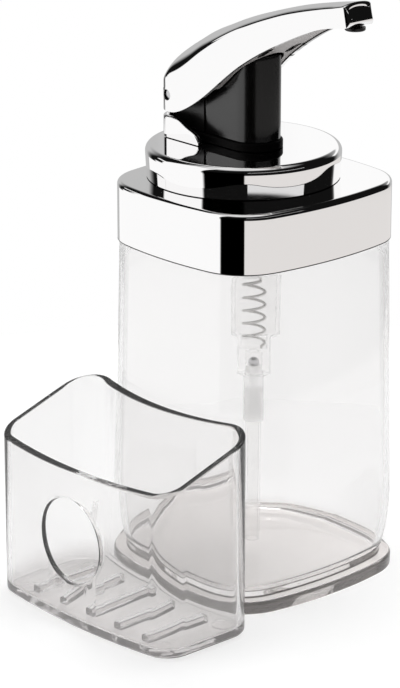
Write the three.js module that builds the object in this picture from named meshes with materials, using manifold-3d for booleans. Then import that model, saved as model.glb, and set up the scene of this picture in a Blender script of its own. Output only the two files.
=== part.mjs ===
// A lever soap dispenser with a clear bottle, and the sponge caddy that stands in front of it.
// Millimetres, +Z up. The origin is on the table under the pump's axis, the spout points along +X
// and the caddy stands on the -Y side.
import * as THREE from 'three';
import { mergeVertices } from 'three/addons/utils/BufferGeometryUtils.js';
import Module from 'manifold-3d';

const wasm = await Module();
wasm.setup();

// Clearance left between pieces that touch or slide
const GAP = 0.3;

// Plan of the bottle and cap: bowed sides and round corners, measured on the cap
const HALF_WIDTH_X = 42.5;
const HALF_WIDTH_Y = 45.9;
const SIDE_RADIUS = 155;
const CORNER_RADIUS = 21;

// Bottle, from the table to its shoulder under the cap
const BOTTLE_HEIGHT = 131.7;
const BOTTLE_WALL = 2.6;
const BOTTLE_FLOOR = 6.8;
const FLOOR_FILLET = 4;
const SHOULDER_INSET = 0.7;
const BELLY_PROUD = 1.5;
const BELLY_HEIGHT = 32;
const HULL_DEPTH = 9.2;
const FOOT_PROUD = 2.2;
const FOOT_HEIGHT = 5;
const FOOT_EDGE = 1.6;
const NECK_INSET = 3.2;
const NECK_WALL = 2.2;
const NECK_HEIGHT = 12.5;

// Cap shell, its liner and the seal on the bottle's neck
const CAP_HEIGHT = 22.7;
const CAP_WALL = 1.6;
const CAP_TOP = 2;
const CAP_EDGE = 1.6;
const LINER_WALL = 2;
const LINER_SKIRT = 8;
const GASKET_THICKNESS = 1.2;
const GASKET_MARGIN = 0.2;

// Collar, set back from the pump's axis
const COLLAR_SETBACK = 6.2;
const COLLAR_RADIUS = 36.9;
const COLLAR_DRAFT = 0.5;
const COLLAR_HEIGHT = 12;
const COLLAR_EDGE = 3.6;
const COLLAR_WALL = 2.4;

// Black pump column with its boss through the collar and cap
const COLUMN_HALF = 9.6;
const COLUMN_BACK = 17.4;
const COLUMN_HEIGHT = 32.7;
const COLUMN_FALL = 7.3;
const RING_HEIGHT = 3;
const RING_PROUD = 0.9;
const BOSS_RADIUS = 8.6;
const NUT_HEIGHT = 3;
const NUT_RADIUS = 15;
const SPIGOT_LENGTH = 8.3;
const ROD_SEAL_HEIGHT = 1.5;

// Hinge block, pin and heel behind the column; heights are above the collar's deck
const BLOCK_HEIGHT = 22;
const HINGE_BACK = 31;
const HINGE_HEIGHT = 16.5;
const KNUCKLE_RADIUS = 3;
const PIN_RADIUS = 1.8;
const PIN_RECESS = 1.2;
const HEEL_WALL = 2.2;
const HEEL_TONGUE_BACK = 13.4;
const HEEL_EDGE = [[-36.5, 8.5], [-25.6, 8], [-20.6, 5.8], [-15.1, 3.6], [-13.4, 1.4]];

// Lever shell: curves along X, with heights above the collar's deck
const LEVER_BACK = 36.5;
const LEVER_TIP = 55;
const LEVER_HALF = 16.5;
const LEVER_CORNER = 6;
const LEVER_WALL = 1.8;
const LEVER_TIP_EDGE = 1.6;
const LEVER_TIP_SOLID = 11.4;
const LEVER_HALF_WIDTHS = [
  [-30.5, 16.5], [-10, 16.4], [3.8, 14.4], [19, 11.6], [29, 9.2], [40, 7.5], [55, 6.8],
];
const LEVER_LOWER_EDGE = [
  [-36.5, 10.6], [-26, 10.8], [-12.4, 18.2], [6, 33.5], [22.6, 43.8], [40.6, 52], [55, 54.8],
];
const LEVER_SHOULDER = [
  [-36.5, 19.5], [-26, 25.1], [-12.4, 35.6], [5.9, 47.1], [22.5, 54.6], [40.5, 59.6], [55, 62.2],
];
const LEVER_CROWN = [[-36.5, 3.5], [-30, 7], [-18, 7.6], [-5, 5.8], [10, 3.3], [25, 1.8], [55, 1.2]];
const HINGE_BOSS_RADIUS = 3.6;
const PAD_SETBACK = 1.2;
const PAD_LENGTH = 6.8;
const PAD_HALF = 2.2;

// Underside plate of the spout, with its slots
const PLATE_BACK = 8;
const PLATE_CLEARANCE = 1;
const PLATE_THICKNESS = 1.6;
const PLATE_RECESS = 0.5;
const SLOT_X = 13;
const SLOT_Y = 7;
const SLOT_LENGTH = 6.4;
const SLOT_WIDTH = 2.2;

// Outlet ring under the spout's tip
const NOZZLE_X = 51.8;
const NOZZLE_RADIUS = 3.8;
const NOZZLE_LIP = 1.2;
const NOZZLE_STEM_RADIUS = 2;
const NOZZLE_STEM = 3.6;
const NOZZLE_BORE = 1.2;
const CHANNEL_RADIUS = 1.6;

// Plunger, with its head in the column's counterbore, and its piston seal
const ROD_RADIUS = 4;
const ROD_BORE = 1.5;
const HEAD_RADIUS = 5.5;
const HEAD_HEIGHT = 5;
const HEAD_CROWN = 1.8;
const HEAD_TOP = 40.5;
const STROKE = 6.5;
const PISTON_DEPTH = 26.8;
const SEAL_HEIGHT = 4;
const SEAL_LIP = 1.2;
const SEAL_SPIGOT = 2.6;

// Pump cylinder, inlet valve and dip tube
const CYLINDER_BORE = 7.5;
const CYLINDER_WALL = 1.3;
const CYLINDER_LENGTH = 51.6;
const THROAT_BORE = 5.2;
const THROAT_WALL = 1.1;
const THROAT_LENGTH = 15.4;
const THROAT_TAPER = 1.3;
const VALVE_FLOOR = 1.5;
const VALVE_DEPTH = 11;
const VALVE_PORT = 1.5;
const VALVE_CHAMBER = 3.2;
const FERRULE_RADIUS = 4;
const FERRULE_LENGTH = 19.7;
const FERRULE_SPIGOT = 3.9;
const FERRULE_SOCKET = 14;
const SEAT_RADIUS = 2;
const BALL_RADIUS = 2.2;
const TUBE_RADIUS = 3.05;
const TUBE_WALL = 0.85;
const TUBE_FLOOR_GAP = 3;

// Return spring in the cylinder
const SPRING_RADIUS = 4.1;
const SPRING_WIRE = 1.1;
const SPRING_CURLS = 5;
const CURL_STEPS = 8;
const WIRE_SIDES = 5;

// Sponge caddy
const CADDY_CLEARANCE = 1;
const CADDY_SHIFT = 2.8;
const CADDY_DEPTH = 44.8;
const CADDY_HALF = 48.6;
const CADDY_FRONT_RADIUS = 264;
const CADDY_BACK_RADIUS = 157;
const CADDY_FRONT_CORNER = 10.4;
const CADDY_BACK_CORNER = 12;
const CADDY_WALL = 2.6;
const CADDY_FLOOR = 2.4;
const CADDY_EDGE = 1.5;
const CADDY_FOOT = 0.5;
const CADDY_FOOT_RADIUS = 4;
const CADDY_FOOT_INSET = 11.5;
const RIM_FRONT = 62;
const RIM_BACK = 77;
const HOLE_RADIUS = 16.2;
const HOLE_SHIFT = -1.2;
const HOLE_HEIGHT = 34.3;
const RIB_COUNT = 5;
const RIB_PITCH = 15.4;
const RIB_SHIFT = 1.4;
const RIB_WIDTH = 3.6;
const RIB_HEIGHT = 2.8;
const RIB_MARGIN = 6;

// Facets
const SIDE_STEPS = 2;
const CORNER_STEPS = 6;
const HULL_STEPS = 6;
const FILLET_STEPS = 3;
const LARGE_TURN = 40;
const SMALL_TURN = 20;
const DOME_STEPS = 10;
const LEVER_STATIONS = 14;
const ARC_STEPS = 8;

// Heights worked out from the stack of pieces
const capBottom = BOTTLE_HEIGHT + GAP;
const capTop = capBottom + CAP_HEIGHT;
const capCeiling = capTop - CAP_TOP;
const neckTop = BOTTLE_HEIGHT + NECK_HEIGHT;
const gasketBottom = neckTop + GAP;
const linerBottom = gasketBottom + GASKET_THICKNESS + GAP;
const collarBottom = capTop + GAP;
const deck = collarBottom + COLLAR_HEIGHT;
const ringBottom = deck + GAP;
const columnBottom = ringBottom + RING_HEIGHT + GAP;
const columnTop = columnBottom + COLUMN_HEIGHT;
const nutTop = capCeiling - GAP;
const bossBottom = nutTop - NUT_HEIGHT;
const spigotBottom = bossBottom - SPIGOT_LENGTH;
const cylinderTop = bossBottom - GAP;
const throatTop = cylinderTop - CYLINDER_LENGTH;
const throatBottom = throatTop - THROAT_LENGTH;
const valveRoof = throatBottom + VALVE_DEPTH - VALVE_FLOOR;
const springFloor = throatBottom + VALVE_DEPTH;
const ferruleTop = throatBottom - GAP;
const ferruleBottom = ferruleTop - FERRULE_LENGTH;
const seatHeight = ferruleTop + FERRULE_SPIGOT;
const headTop = deck + HEAD_TOP;
const pistonBottom = cylinderTop - PISTON_DEPTH;
const sealBottom = pistonBottom + GAP;
const sealTop = sealBottom + SEAL_HEIGHT;
const hingeHeight = deck + HINGE_HEIGHT;
const caddyBack = -(HALF_WIDTH_Y + FOOT_PROUD + CADDY_CLEARANCE);
const caddyFront = caddyBack - CADDY_DEPTH;

// Solids from geometries

// A closed solid from points and triangles, turned so that its faces point outwards
function solidOf(vertices, corners) {
  const at = (corner) => new THREE.Vector3().fromArray(vertices, corner * 3);
  const kept = [];
  let volume = 0;
  for (let i = 0; i < corners.length; i += 3) {
    const [a, b, c] = [corners[i], corners[i + 1], corners[i + 2]];
    if (a === b || b === c || c === a) continue;
    volume += at(a).dot(at(b).cross(at(c)));
    kept.push(a, b, c);
  }
  const triVerts = new Uint32Array(volume < 0 ? kept.reverse() : kept);
  const vertProperties = new Float32Array(vertices);
  return new wasm.Manifold(new wasm.Mesh({ numProp: 3, vertProperties, triVerts }));
}

function solidFrom(geometry) {
  const bare = geometry.clone();
  bare.deleteAttribute('normal');
  bare.deleteAttribute('uv');
  const welded = mergeVertices(bare);
  return solidOf(welded.attributes.position.array, welded.index.array);
}

// Skin over rings of equally many points, closed by a fan over each convex end
function loft(rings) {
  const count = rings[0].length;
  const last = (rings.length - 1) * count;
  const corners = [];
  for (let start = 0; start < last; start += count) {
    for (let i = 0; i < count; i += 1) {
      const a = start + i;
      const b = start + (i + 1) % count;
      corners.push(a, b, b + count, a, b + count, a + count);
    }
  }
  for (let i = 1; i + 1 < count; i += 1) {
    corners.push(0, i + 1, i, last, last + i, last + i + 1);
  }
  return solidOf(rings.flat().flatMap((point) => point.toArray()), corners);
}

// Revolved solid about a vertical axis at x; the profile is a closed list of [radius, height]
function turned(profile, steps = SMALL_TURN, x = 0) {
  const points = [...profile, profile[0]].map(([radius, height]) => new THREE.Vector2(radius, height));
  return solidFrom(new THREE.LatheGeometry(points, steps).rotateX(Math.PI / 2).translate(x, 0, 0));
}

function cylinder(radius, bottom, top, steps = SMALL_TURN, x = 0) {
  return turned([[0, bottom], [radius, bottom], [radius, top], [0, top]], steps, x);
}

// Vertical prism over an outline in X and Y
function prism(outline, bottom, top) {
  const shape = new THREE.Shape(outline);
  const geometry = new THREE.ExtrudeGeometry(shape, { depth: top - bottom, bevelEnabled: false });
  return solidFrom(geometry.translate(0, 0, bottom));
}

// Prism across the object over an outline in X and Z
function crossPrism(outline, left, right) {
  const shape = new THREE.Shape(outline.map(([x, z]) => new THREE.Vector2(x, z)));
  const geometry = new THREE.ExtrudeGeometry(shape, { depth: right - left, bevelEnabled: false });
  return solidFrom(geometry.rotateX(Math.PI / 2).translate(0, right, 0));
}

// Cylinder along Y
function crossCylinder(radius, x, z, left, right) {
  const geometry = new THREE.CylinderGeometry(radius, radius, right - left, SMALL_TURN);
  return solidFrom(geometry.translate(x, (left + right) / 2, z));
}

function box(low, high) {
  const size = high.map((value, axis) => value - low[axis]);
  const middle = high.map((value, axis) => (value + low[axis]) / 2);
  return solidFrom(new THREE.BoxGeometry(...size).translate(...middle));
}

function join(solids) {
  return solids.reduce((whole, solid) => whole.add(solid));
}

// Points on an arc from one angle up to, but without, the other
function arc(centre, radius, from, to, steps) {
  return Array.from({ length: steps }, (_, i) => {
    const angle = from + (to - from) * i / steps;
    return new THREE.Vector2(centre.x + radius * Math.cos(angle), centre.y + radius * Math.sin(angle));
  });
}

// Smooth curve through a few [x, value] knots
function curveThrough(knots) {
  const slope = (i) => {
    const before = knots[Math.max(i - 1, 0)];
    const after = knots[Math.min(i + 1, knots.length - 1)];
    return (after[1] - before[1]) / (after[0] - before[0]);
  };
  return (x) => {
    let i = 0;
    while (i + 2 < knots.length && x > knots[i + 1][0]) i += 1;
    const [start, low] = knots[i];
    const [end, high] = knots[i + 1];
    const run = end - start;
    const t = THREE.MathUtils.clamp((x - start) / run, 0, 1);
    const rise = (high - low) * t * t * (3 - 2 * t);
    return low + rise + run * t * (1 - t) * (slope(i) * (1 - t) - slope(i + 1) * t);
  };
}

// Plan of the bottle and cap, offset outwards from the cap's own outline
function plan(outset) {
  const side = SIDE_RADIUS + outset;
  const corner = CORNER_RADIUS + outset;
  const bowX = new THREE.Vector2(HALF_WIDTH_X + outset - side, 0);
  const bowY = new THREE.Vector2(0, HALF_WIDTH_Y + outset - side);
  const outward = new THREE.Vector2(-bowY.y, -bowX.x).normalize();
  const reach = Math.sqrt((side - corner) ** 2 - (bowX.distanceTo(bowY) / 2) ** 2);
  const centre = bowX.clone().add(bowY).multiplyScalar(0.5).addScaledVector(outward, reach);
  const cornerStart = Math.atan2(centre.y - bowX.y, centre.x - bowX.x);
  const cornerEnd = Math.atan2(centre.y - bowY.y, centre.x - bowY.x);
  const quarter = [
    ...arc(bowX, side, 0, cornerStart, SIDE_STEPS),
    ...arc(centre, corner, cornerStart, cornerEnd, CORNER_STEPS),
    ...arc(bowY, side, cornerEnd, Math.PI / 2, SIDE_STEPS),
  ];
  const crest = new THREE.Vector2(0, HALF_WIDTH_Y + outset);
  const mirrored = quarter.slice(1).reverse().map((p) => new THREE.Vector2(-p.x, p.y));
  const half = [...quarter, crest, ...mirrored];
  return [...half, ...half.map((p) => p.clone().negate())];
}

// Loft over the plan through a list of [outset, height]
function planLoft(levels) {
  return loft(levels.map(([outset, z]) => plan(outset).map((p) => new THREE.Vector3(p.x, p.y, z))));
}

// Outline with a round front about the pump's axis and a flat back
function stadium(half, back) {
  return [
    ...arc(new THREE.Vector2(), half, -Math.PI / 2, Math.PI / 2, ARC_STEPS * 2),
    new THREE.Vector2(0, half),
    new THREE.Vector2(-back, half),
    new THREE.Vector2(-back, -half),
  ];
}

// Bottle and cap

// Outset of the bottle's outer wall: a hull under the belly, then a straight taper to the shoulder
function bottleOutset(z) {
  if (z < BELLY_HEIGHT) {
    const below = (BELLY_HEIGHT - z) / BELLY_HEIGHT;
    return BELLY_PROUD - HULL_DEPTH * (1 - Math.sqrt(1 - below ** 2));
  }
  const above = (z - BELLY_HEIGHT) / (BOTTLE_HEIGHT - BELLY_HEIGHT);
  return BELLY_PROUD - (BELLY_PROUD + SHOULDER_INSET) * above;
}

function bottle() {
  const neckOuter = -NECK_INSET;
  const neckInner = -NECK_INSET - NECK_WALL;
  const outer = [
    [FOOT_PROUD - FOOT_EDGE / 2, 0],
    [FOOT_PROUD, FOOT_EDGE / 2],
    [FOOT_PROUD, FOOT_HEIGHT - FOOT_EDGE],
    [FOOT_PROUD - FOOT_EDGE / 3, FOOT_HEIGHT - FOOT_EDGE / 3],
    [FOOT_PROUD - FOOT_EDGE, FOOT_HEIGHT],
  ];
  const inner = [];
  const cavityRise = BELLY_HEIGHT - BOTTLE_FLOOR;
  for (let i = 0; i <= HULL_STEPS; i += 1) {
    const z = THREE.MathUtils.lerp(FOOT_HEIGHT, BELLY_HEIGHT, i / HULL_STEPS);
    outer.push([bottleOutset(z), z + (i === 0 ? GAP : 0)]);
  }
  for (let i = 0; i <= FILLET_STEPS; i += 1) {
    const turn = i / FILLET_STEPS * Math.PI / 2;
    const z = BOTTLE_FLOOR + FLOOR_FILLET * (1 - Math.cos(turn));
    inner.push([bottleOutset(z) - BOTTLE_WALL - FLOOR_FILLET * (1 - Math.sin(turn)), z]);
  }
  for (let i = 2; i <= HULL_STEPS; i += 1) {
    const z = BOTTLE_FLOOR + cavityRise * i / HULL_STEPS;
    inner.push([bottleOutset(z) - BOTTLE_WALL, z]);
  }
  const shoulder = bottleOutset(BOTTLE_HEIGHT);
  outer.push([shoulder, BOTTLE_HEIGHT], [neckOuter, BOTTLE_HEIGHT], [neckOuter, neckTop]);
  inner.push([shoulder - BOTTLE_WALL, BOTTLE_HEIGHT - 2 * BOTTLE_WALL]);
  inner.push([neckInner, BOTTLE_HEIGHT - BOTTLE_WALL], [neckInner, neckTop + GAP]);
  return planLoft(outer).subtract(planLoft(inner));
}

function capShell() {
  const outer = planLoft([
    [0, capBottom],
    [0, capTop - CAP_EDGE],
    [-CAP_EDGE * (1 - Math.SQRT1_2), capTop - CAP_EDGE * (1 - Math.SQRT1_2)],
    [-CAP_EDGE, capTop],
  ]);
  const hollow = planLoft([[-CAP_WALL, capBottom - GAP], [-CAP_WALL, capCeiling]]);
  const bossHole = cylinder(BOSS_RADIUS + GAP, capCeiling - GAP, capTop + GAP, LARGE_TURN);
  return outer.subtract(hollow).subtract(bossHole);
}

function capLiner() {
  const wallOuter = -CAP_WALL - GAP;
  const skirtOuter = -NECK_INSET - NECK_WALL - GAP;
  const skirtBottom = linerBottom - LINER_SKIRT;
  const flangeTop = linerBottom + LINER_WALL;
  const top = capCeiling - GAP;
  const outer = planLoft([
    [skirtOuter, skirtBottom],
    [skirtOuter, linerBottom],
    [wallOuter, linerBottom],
    [wallOuter, top],
  ]);
  const inner = planLoft([
    [skirtOuter - LINER_WALL, skirtBottom - GAP],
    [skirtOuter - LINER_WALL, flangeTop],
    [wallOuter - LINER_WALL, flangeTop],
    [wallOuter - LINER_WALL, top + GAP],
  ]);
  return outer.subtract(inner);
}

function capGasket() {
  const outer = -NECK_INSET - GASKET_MARGIN;
  const inner = -NECK_INSET - NECK_WALL + GASKET_MARGIN;
  const top = gasketBottom + GASKET_THICKNESS;
  const ring = planLoft([[outer, gasketBottom], [outer, top]]);
  return ring.subtract(planLoft([[inner, gasketBottom - GAP], [inner, top + GAP]]));
}

function collar() {
  const wallBottom = COLLAR_RADIUS - COLLAR_DRAFT;
  const inside = wallBottom - COLLAR_WALL;
  const edge = arc(
    new THREE.Vector2(COLLAR_RADIUS - COLLAR_EDGE, deck - COLLAR_EDGE),
    COLLAR_EDGE, 0, Math.PI / 2, FILLET_STEPS * 2,
  );
  const shell = turned([
    [inside, collarBottom],
    [wallBottom, collarBottom],
    ...edge.map((p) => [p.x, p.y]),
    [COLLAR_RADIUS - COLLAR_EDGE, deck],
    [0, deck],
    [0, deck - COLLAR_WALL],
    [inside, deck - COLLAR_WALL],
  ], LARGE_TURN, -COLLAR_SETBACK);
  return shell.subtract(cylinder(BOSS_RADIUS + GAP, collarBottom, deck + GAP, LARGE_TURN));
}

function retainingNut() {
  const hexagon = cylinder(NUT_RADIUS, bossBottom, nutTop, 6);
  return hexagon.subtract(cylinder(BOSS_RADIUS + GAP, bossBottom - GAP, nutTop + GAP, LARGE_TURN));
}

// Column, hinge and heel

function columnRing() {
  const back = HINGE_BACK + KNUCKLE_RADIUS;
  const plate = prism(stadium(COLUMN_HALF + RING_PROUD, back), ringBottom, ringBottom + RING_HEIGHT);
  return plate.subtract(cylinder(BOSS_RADIUS + GAP, ringBottom - GAP, columnBottom, LARGE_TURN));
}

function column() {
  const front = COLUMN_HALF + GAP;
  const back = -COLUMN_BACK - GAP;
  const body = prism(stadium(COLUMN_HALF, COLUMN_BACK), columnBottom, columnTop);
  const above = columnTop + GAP;
  const slope = [[front, columnTop], [front, above], [back, above], [back, columnTop - COLUMN_FALL]];
  const overTop = crossPrism(slope, -front, front);
  const boss = cylinder(BOSS_RADIUS, bossBottom, columnBottom + GAP, LARGE_TURN);
  const spigot = cylinder(CYLINDER_BORE - GAP, spigotBottom, bossBottom + GAP, LARGE_TURN);
  const rodBore = cylinder(ROD_RADIUS + GAP, spigotBottom - GAP, columnTop + GAP);
  const counterFloor = headTop - HEAD_HEIGHT - STROKE - 2 * GAP;
  const counterbore = cylinder(HEAD_RADIUS + 2 * GAP, counterFloor, columnTop + GAP);
  return body.subtract(overTop).add(boss).add(spigot).subtract(rodBore).subtract(counterbore);
}

// Block behind the column that ends in a round knuckle about the pin
function hingeBlock() {
  const front = -COLUMN_BACK - GAP;
  const pin = new THREE.Vector2(-HINGE_BACK, hingeHeight);
  const knuckle = arc(pin, KNUCKLE_RADIUS, Math.PI / 2, Math.PI, CORNER_STEPS);
  const side = [
    [front, columnBottom],
    [front, columnBottom + BLOCK_HEIGHT],
    ...knuckle.map((p) => [p.x, p.y]),
    [pin.x - KNUCKLE_RADIUS, pin.y],
    [pin.x - KNUCKLE_RADIUS, columnBottom],
  ];
  const outside = COLUMN_HALF + GAP;
  const pinHole = crossCylinder(PIN_RADIUS + GAP, pin.x, pin.y, -outside, outside);
  return crossPrism(side, -COLUMN_HALF, COLUMN_HALF).subtract(pinHole);
}

function hingePin() {
  const half = LEVER_HALF - PIN_RECESS;
  return crossCylinder(PIN_RADIUS, -HINGE_BACK, hingeHeight, -half, half);
}

// Plan of the lever's and heel's round back, inset by a wall and open towards the front
function backPlan(wall, front) {
  const half = LEVER_HALF - wall;
  const radius = LEVER_CORNER - wall;
  const middle = -LEVER_BACK + LEVER_CORNER;
  const side = LEVER_HALF - LEVER_CORNER;
  return [
    new THREE.Vector2(front, half),
    ...arc(new THREE.Vector2(middle, side), radius, Math.PI / 2, Math.PI, CORNER_STEPS),
    ...arc(new THREE.Vector2(middle, -side), radius, Math.PI, Math.PI * 1.5, CORNER_STEPS),
    new THREE.Vector2(middle, -half),
    new THREE.Vector2(front, -half),
  ];
}

function heel() {
  const bottom = deck + GAP;
  const top = deck + HEEL_EDGE[0][1] + GAP;
  const edge = new THREE.SplineCurve(HEEL_EDGE.map(([x, z]) => new THREE.Vector2(x, deck + z)));
  const side = [
    [-HEEL_TONGUE_BACK, bottom],
    ...edge.getPoints(ARC_STEPS * 2).reverse().map((p) => [p.x, p.y]),
    [-LEVER_BACK, bottom],
  ];
  const cheeks = crossPrism(side, -LEVER_HALF, LEVER_HALF);
  const outside = prism(backPlan(0, 0), bottom - GAP, top);
  const inside = prism(backPlan(HEEL_WALL, GAP), bottom - GAP, top + GAP);
  return cheeks.intersect(outside).subtract(inside);
}

// Lever and spout

const leverHalfWidth = curveThrough(LEVER_HALF_WIDTHS);
const leverLowerEdge = curveThrough(LEVER_LOWER_EDGE);
const leverShoulder = curveThrough(LEVER_SHOULDER);
const leverCrown = curveThrough(LEVER_CROWN);
const leverRound = -LEVER_BACK + LEVER_CORNER;
const hollowEnd = LEVER_TIP - LEVER_TIP_SOLID;

// Half width of the lever at x, inside a wall, with the round back
function leverHalf(x, wall) {
  if (x >= leverRound) return leverHalfWidth(x) - wall;
  const across = Math.sqrt(Math.max((LEVER_CORNER - wall) ** 2 - (leverRound - x) ** 2, 0));
  return LEVER_HALF - LEVER_CORNER + across;
}

// Section across the lever: straight sides from the lower edge to the shoulder, then a dome
function leverSection(x, wall, lowering, trim) {
  const half = leverHalf(x, wall) - trim;
  const lower = deck + leverLowerEdge(x) - lowering + trim;
  const shoulder = deck + leverShoulder(x) - wall - trim;
  const dome = Array.from({ length: DOME_STEPS + 1 }, (_, i) => {
    const angle = Math.PI * i / DOME_STEPS;
    return new THREE.Vector3(x, half * Math.cos(angle), shoulder + leverCrown(x) * Math.sin(angle));
  });
  return [new THREE.Vector3(x, -half, lower), new THREE.Vector3(x, half, lower), ...dome];
}

// Stations along the lever: close together round the back, then evenly spaced
function leverStations(wall, end) {
  const round = LEVER_CORNER - wall;
  const back = Array.from({ length: FILLET_STEPS }, (_, i) => (
    leverRound - round * Math.cos(i / FILLET_STEPS * Math.PI / 2)
  ));
  const along = Array.from({ length: LEVER_STATIONS + 1 }, (_, i) => (
    THREE.MathUtils.lerp(leverRound, end, i / LEVER_STATIONS)
  ));
  return [...back, ...along];
}

function leverShell() {
  const straight = leverStations(0, LEVER_TIP - LEVER_TIP_EDGE).map((x) => leverSection(x, 0, 0, 0));
  const edge = 1 - Math.SQRT1_2;
  return loft([
    ...straight,
    leverSection(LEVER_TIP - LEVER_TIP_EDGE * edge, 0, 0, LEVER_TIP_EDGE * edge),
    leverSection(LEVER_TIP, 0, 0, LEVER_TIP_EDGE),
  ]);
}

function lever() {
  const shell = leverShell();
  const hollowStations = leverStations(LEVER_WALL, hollowEnd);
  const hollow = loft(hollowStations.map((x) => leverSection(x, LEVER_WALL, LEVER_HALF, 0)));
  const padBottom = headTop + GAP;
  const pad = box(
    [-PAD_SETBACK - PAD_LENGTH, -PAD_HALF, padBottom],
    [-PAD_SETBACK, PAD_HALF, padBottom + LEVER_HALF],
  );
  const bossStart = COLUMN_HALF + 2 * GAP;
  const outside = LEVER_HALF + GAP;
  const bosses = join([-1, 1].map((side) => {
    const [left, right] = [side * bossStart, side * LEVER_HALF].sort((a, b) => a - b);
    return crossCylinder(HINGE_BOSS_RADIUS, -HINGE_BACK, hingeHeight, left, right);
  }));
  const pinHole = crossCylinder(PIN_RADIUS + GAP, -HINGE_BACK, hingeHeight, -outside, outside);
  const tipBottom = deck + leverLowerEdge(NOZZLE_X);
  const stemTop = tipBottom + NOZZLE_STEM;
  const ringSeat = cylinder(NOZZLE_RADIUS + GAP, tipBottom - NOZZLE_LIP, tipBottom, SMALL_TURN, NOZZLE_X);
  const stemHole = cylinder(NOZZLE_STEM_RADIUS + GAP, tipBottom - GAP, stemTop + GAP, SMALL_TURN, NOZZLE_X);
  const channelStart = hollowEnd - LEVER_WALL;
  const channelLength = NOZZLE_X - channelStart;
  const channel = new THREE.CylinderGeometry(CHANNEL_RADIUS, CHANNEL_RADIUS, channelLength, SMALL_TURN);
  channel.rotateZ(Math.PI / 2).translate(channelStart + channelLength / 2, 0, stemTop - CHANNEL_RADIUS);
  return shell
    .subtract(hollow)
    .add(pad.intersect(shell))
    .add(bosses.intersect(shell))
    .subtract(pinHole)
    .subtract(ringSeat)
    .subtract(stemHole)
    .subtract(solidFrom(channel));
}

// Plate that closes the spout from below, just inside its lower edges, with a notch round the column
function leverLiner() {
  const end = hollowEnd - GAP;
  const plate = loft(Array.from({ length: ARC_STEPS + 1 }, (_, i) => {
    const x = THREE.MathUtils.lerp(-PLATE_BACK, end, i / ARC_STEPS);
    const half = leverHalf(x, LEVER_WALL) - GAP;
    const bottom = deck + leverLowerEdge(x) + PLATE_RECESS;
    const top = bottom + PLATE_THICKNESS;
    const corners = [[-half, bottom], [half, bottom], [half, top], [-half, top]];
    return corners.map(([y, z]) => new THREE.Vector3(x, y, z));
  }));
  const above = headTop + LEVER_HALF;
  const notch = prism(stadium(COLUMN_HALF + PLATE_CLEARANCE, LEVER_BACK), deck, above);
  const reach = (SLOT_LENGTH - SLOT_WIDTH) / 2;
  const slots = [-SLOT_Y, SLOT_Y].map((y) => {
    const front = new THREE.Vector2(SLOT_X + reach, y);
    const back = new THREE.Vector2(SLOT_X - reach, y);
    return prism([
      ...arc(front, SLOT_WIDTH / 2, -Math.PI / 2, Math.PI / 2, CORNER_STEPS),
      ...arc(back, SLOT_WIDTH / 2, Math.PI / 2, Math.PI * 1.5, CORNER_STEPS),
    ], deck, above);
  });
  return plate.subtract(notch).subtract(join(slots));
}

function nozzle() {
  const seat = deck + leverLowerEdge(NOZZLE_X) - GAP;
  return turned([
    [NOZZLE_BORE, seat - NOZZLE_LIP],
    [NOZZLE_RADIUS, seat - NOZZLE_LIP],
    [NOZZLE_RADIUS, seat],
    [NOZZLE_STEM_RADIUS, seat],
    [NOZZLE_STEM_RADIUS, seat + NOZZLE_STEM],
    [NOZZLE_BORE, seat + NOZZLE_STEM],
  ], SMALL_TURN, NOZZLE_X);
}

// Pump

function plunger() {
  const headBottom = headTop - HEAD_HEIGHT;
  const rodBottom = sealTop + GAP;
  const crownRadius = (HEAD_RADIUS ** 2 + HEAD_CROWN ** 2) / (2 * HEAD_CROWN);
  const crownAngle = Math.asin(HEAD_RADIUS / crownRadius);
  const crownCentre = new THREE.Vector2(0, headTop - crownRadius);
  const crown = arc(crownCentre, crownRadius, Math.PI / 2 - crownAngle, Math.PI / 2, FILLET_STEPS);
  const boreTop = headTop - HEAD_CROWN - ROD_BORE;
  const portLength = HEAD_RADIUS + GAP;
  const port = new THREE.CylinderGeometry(ROD_BORE, ROD_BORE, portLength, SMALL_TURN).rotateZ(Math.PI / 2);
  const portHeight = headBottom + ROD_BORE + GAP;
  return turned([
    [0, pistonBottom],
    [SEAL_SPIGOT, pistonBottom],
    [SEAL_SPIGOT, rodBottom],
    [ROD_RADIUS, rodBottom],
    [ROD_RADIUS, headBottom],
    [HEAD_RADIUS, headBottom],
    ...crown.map((p) => [p.x, p.y]),
    [0, headTop],
  ])
    .subtract(cylinder(ROD_BORE, pistonBottom - GAP, boreTop))
    .subtract(solidFrom(port.translate(portLength / 2, 0, portHeight)));
}

// Cup seal with a lip that leans out to the cylinder's bore
function pistonSeal() {
  const outer = CYLINDER_BORE - GAP;
  const inner = SEAL_SPIGOT + GAP;
  return turned([
    [inner, sealBottom],
    [outer - SEAL_LIP, sealBottom],
    [outer, sealBottom + SEAL_LIP],
    [outer, sealTop - SEAL_LIP],
    [outer - SEAL_LIP, sealTop],
    [inner, sealTop],
  ], LARGE_TURN);
}

function pumpCylinder() {
  return turned([
    [CYLINDER_BORE + CYLINDER_WALL, cylinderTop],
    [CYLINDER_BORE + CYLINDER_WALL, throatTop + THROAT_TAPER],
    [THROAT_BORE + THROAT_WALL, throatTop],
    [THROAT_BORE + THROAT_WALL, throatBottom],
    [VALVE_CHAMBER, throatBottom],
    [VALVE_CHAMBER, valveRoof],
    [VALVE_PORT, valveRoof],
    [VALVE_PORT, springFloor],
    [THROAT_BORE, springFloor],
    [THROAT_BORE, throatTop + CYLINDER_WALL],
    [CYLINDER_BORE, throatTop + CYLINDER_WALL + THROAT_TAPER],
    [CYLINDER_BORE, cylinderTop],
  ], LARGE_TURN);
}

function rodSeal() {
  const top = spigotBottom - GAP;
  const inner = ROD_RADIUS + GAP;
  const outer = CYLINDER_BORE - GAP;
  const bottom = top - ROD_SEAL_HEIGHT;
  return turned([[inner, bottom], [outer, bottom], [outer, top], [inner, top]], LARGE_TURN);
}

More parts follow.
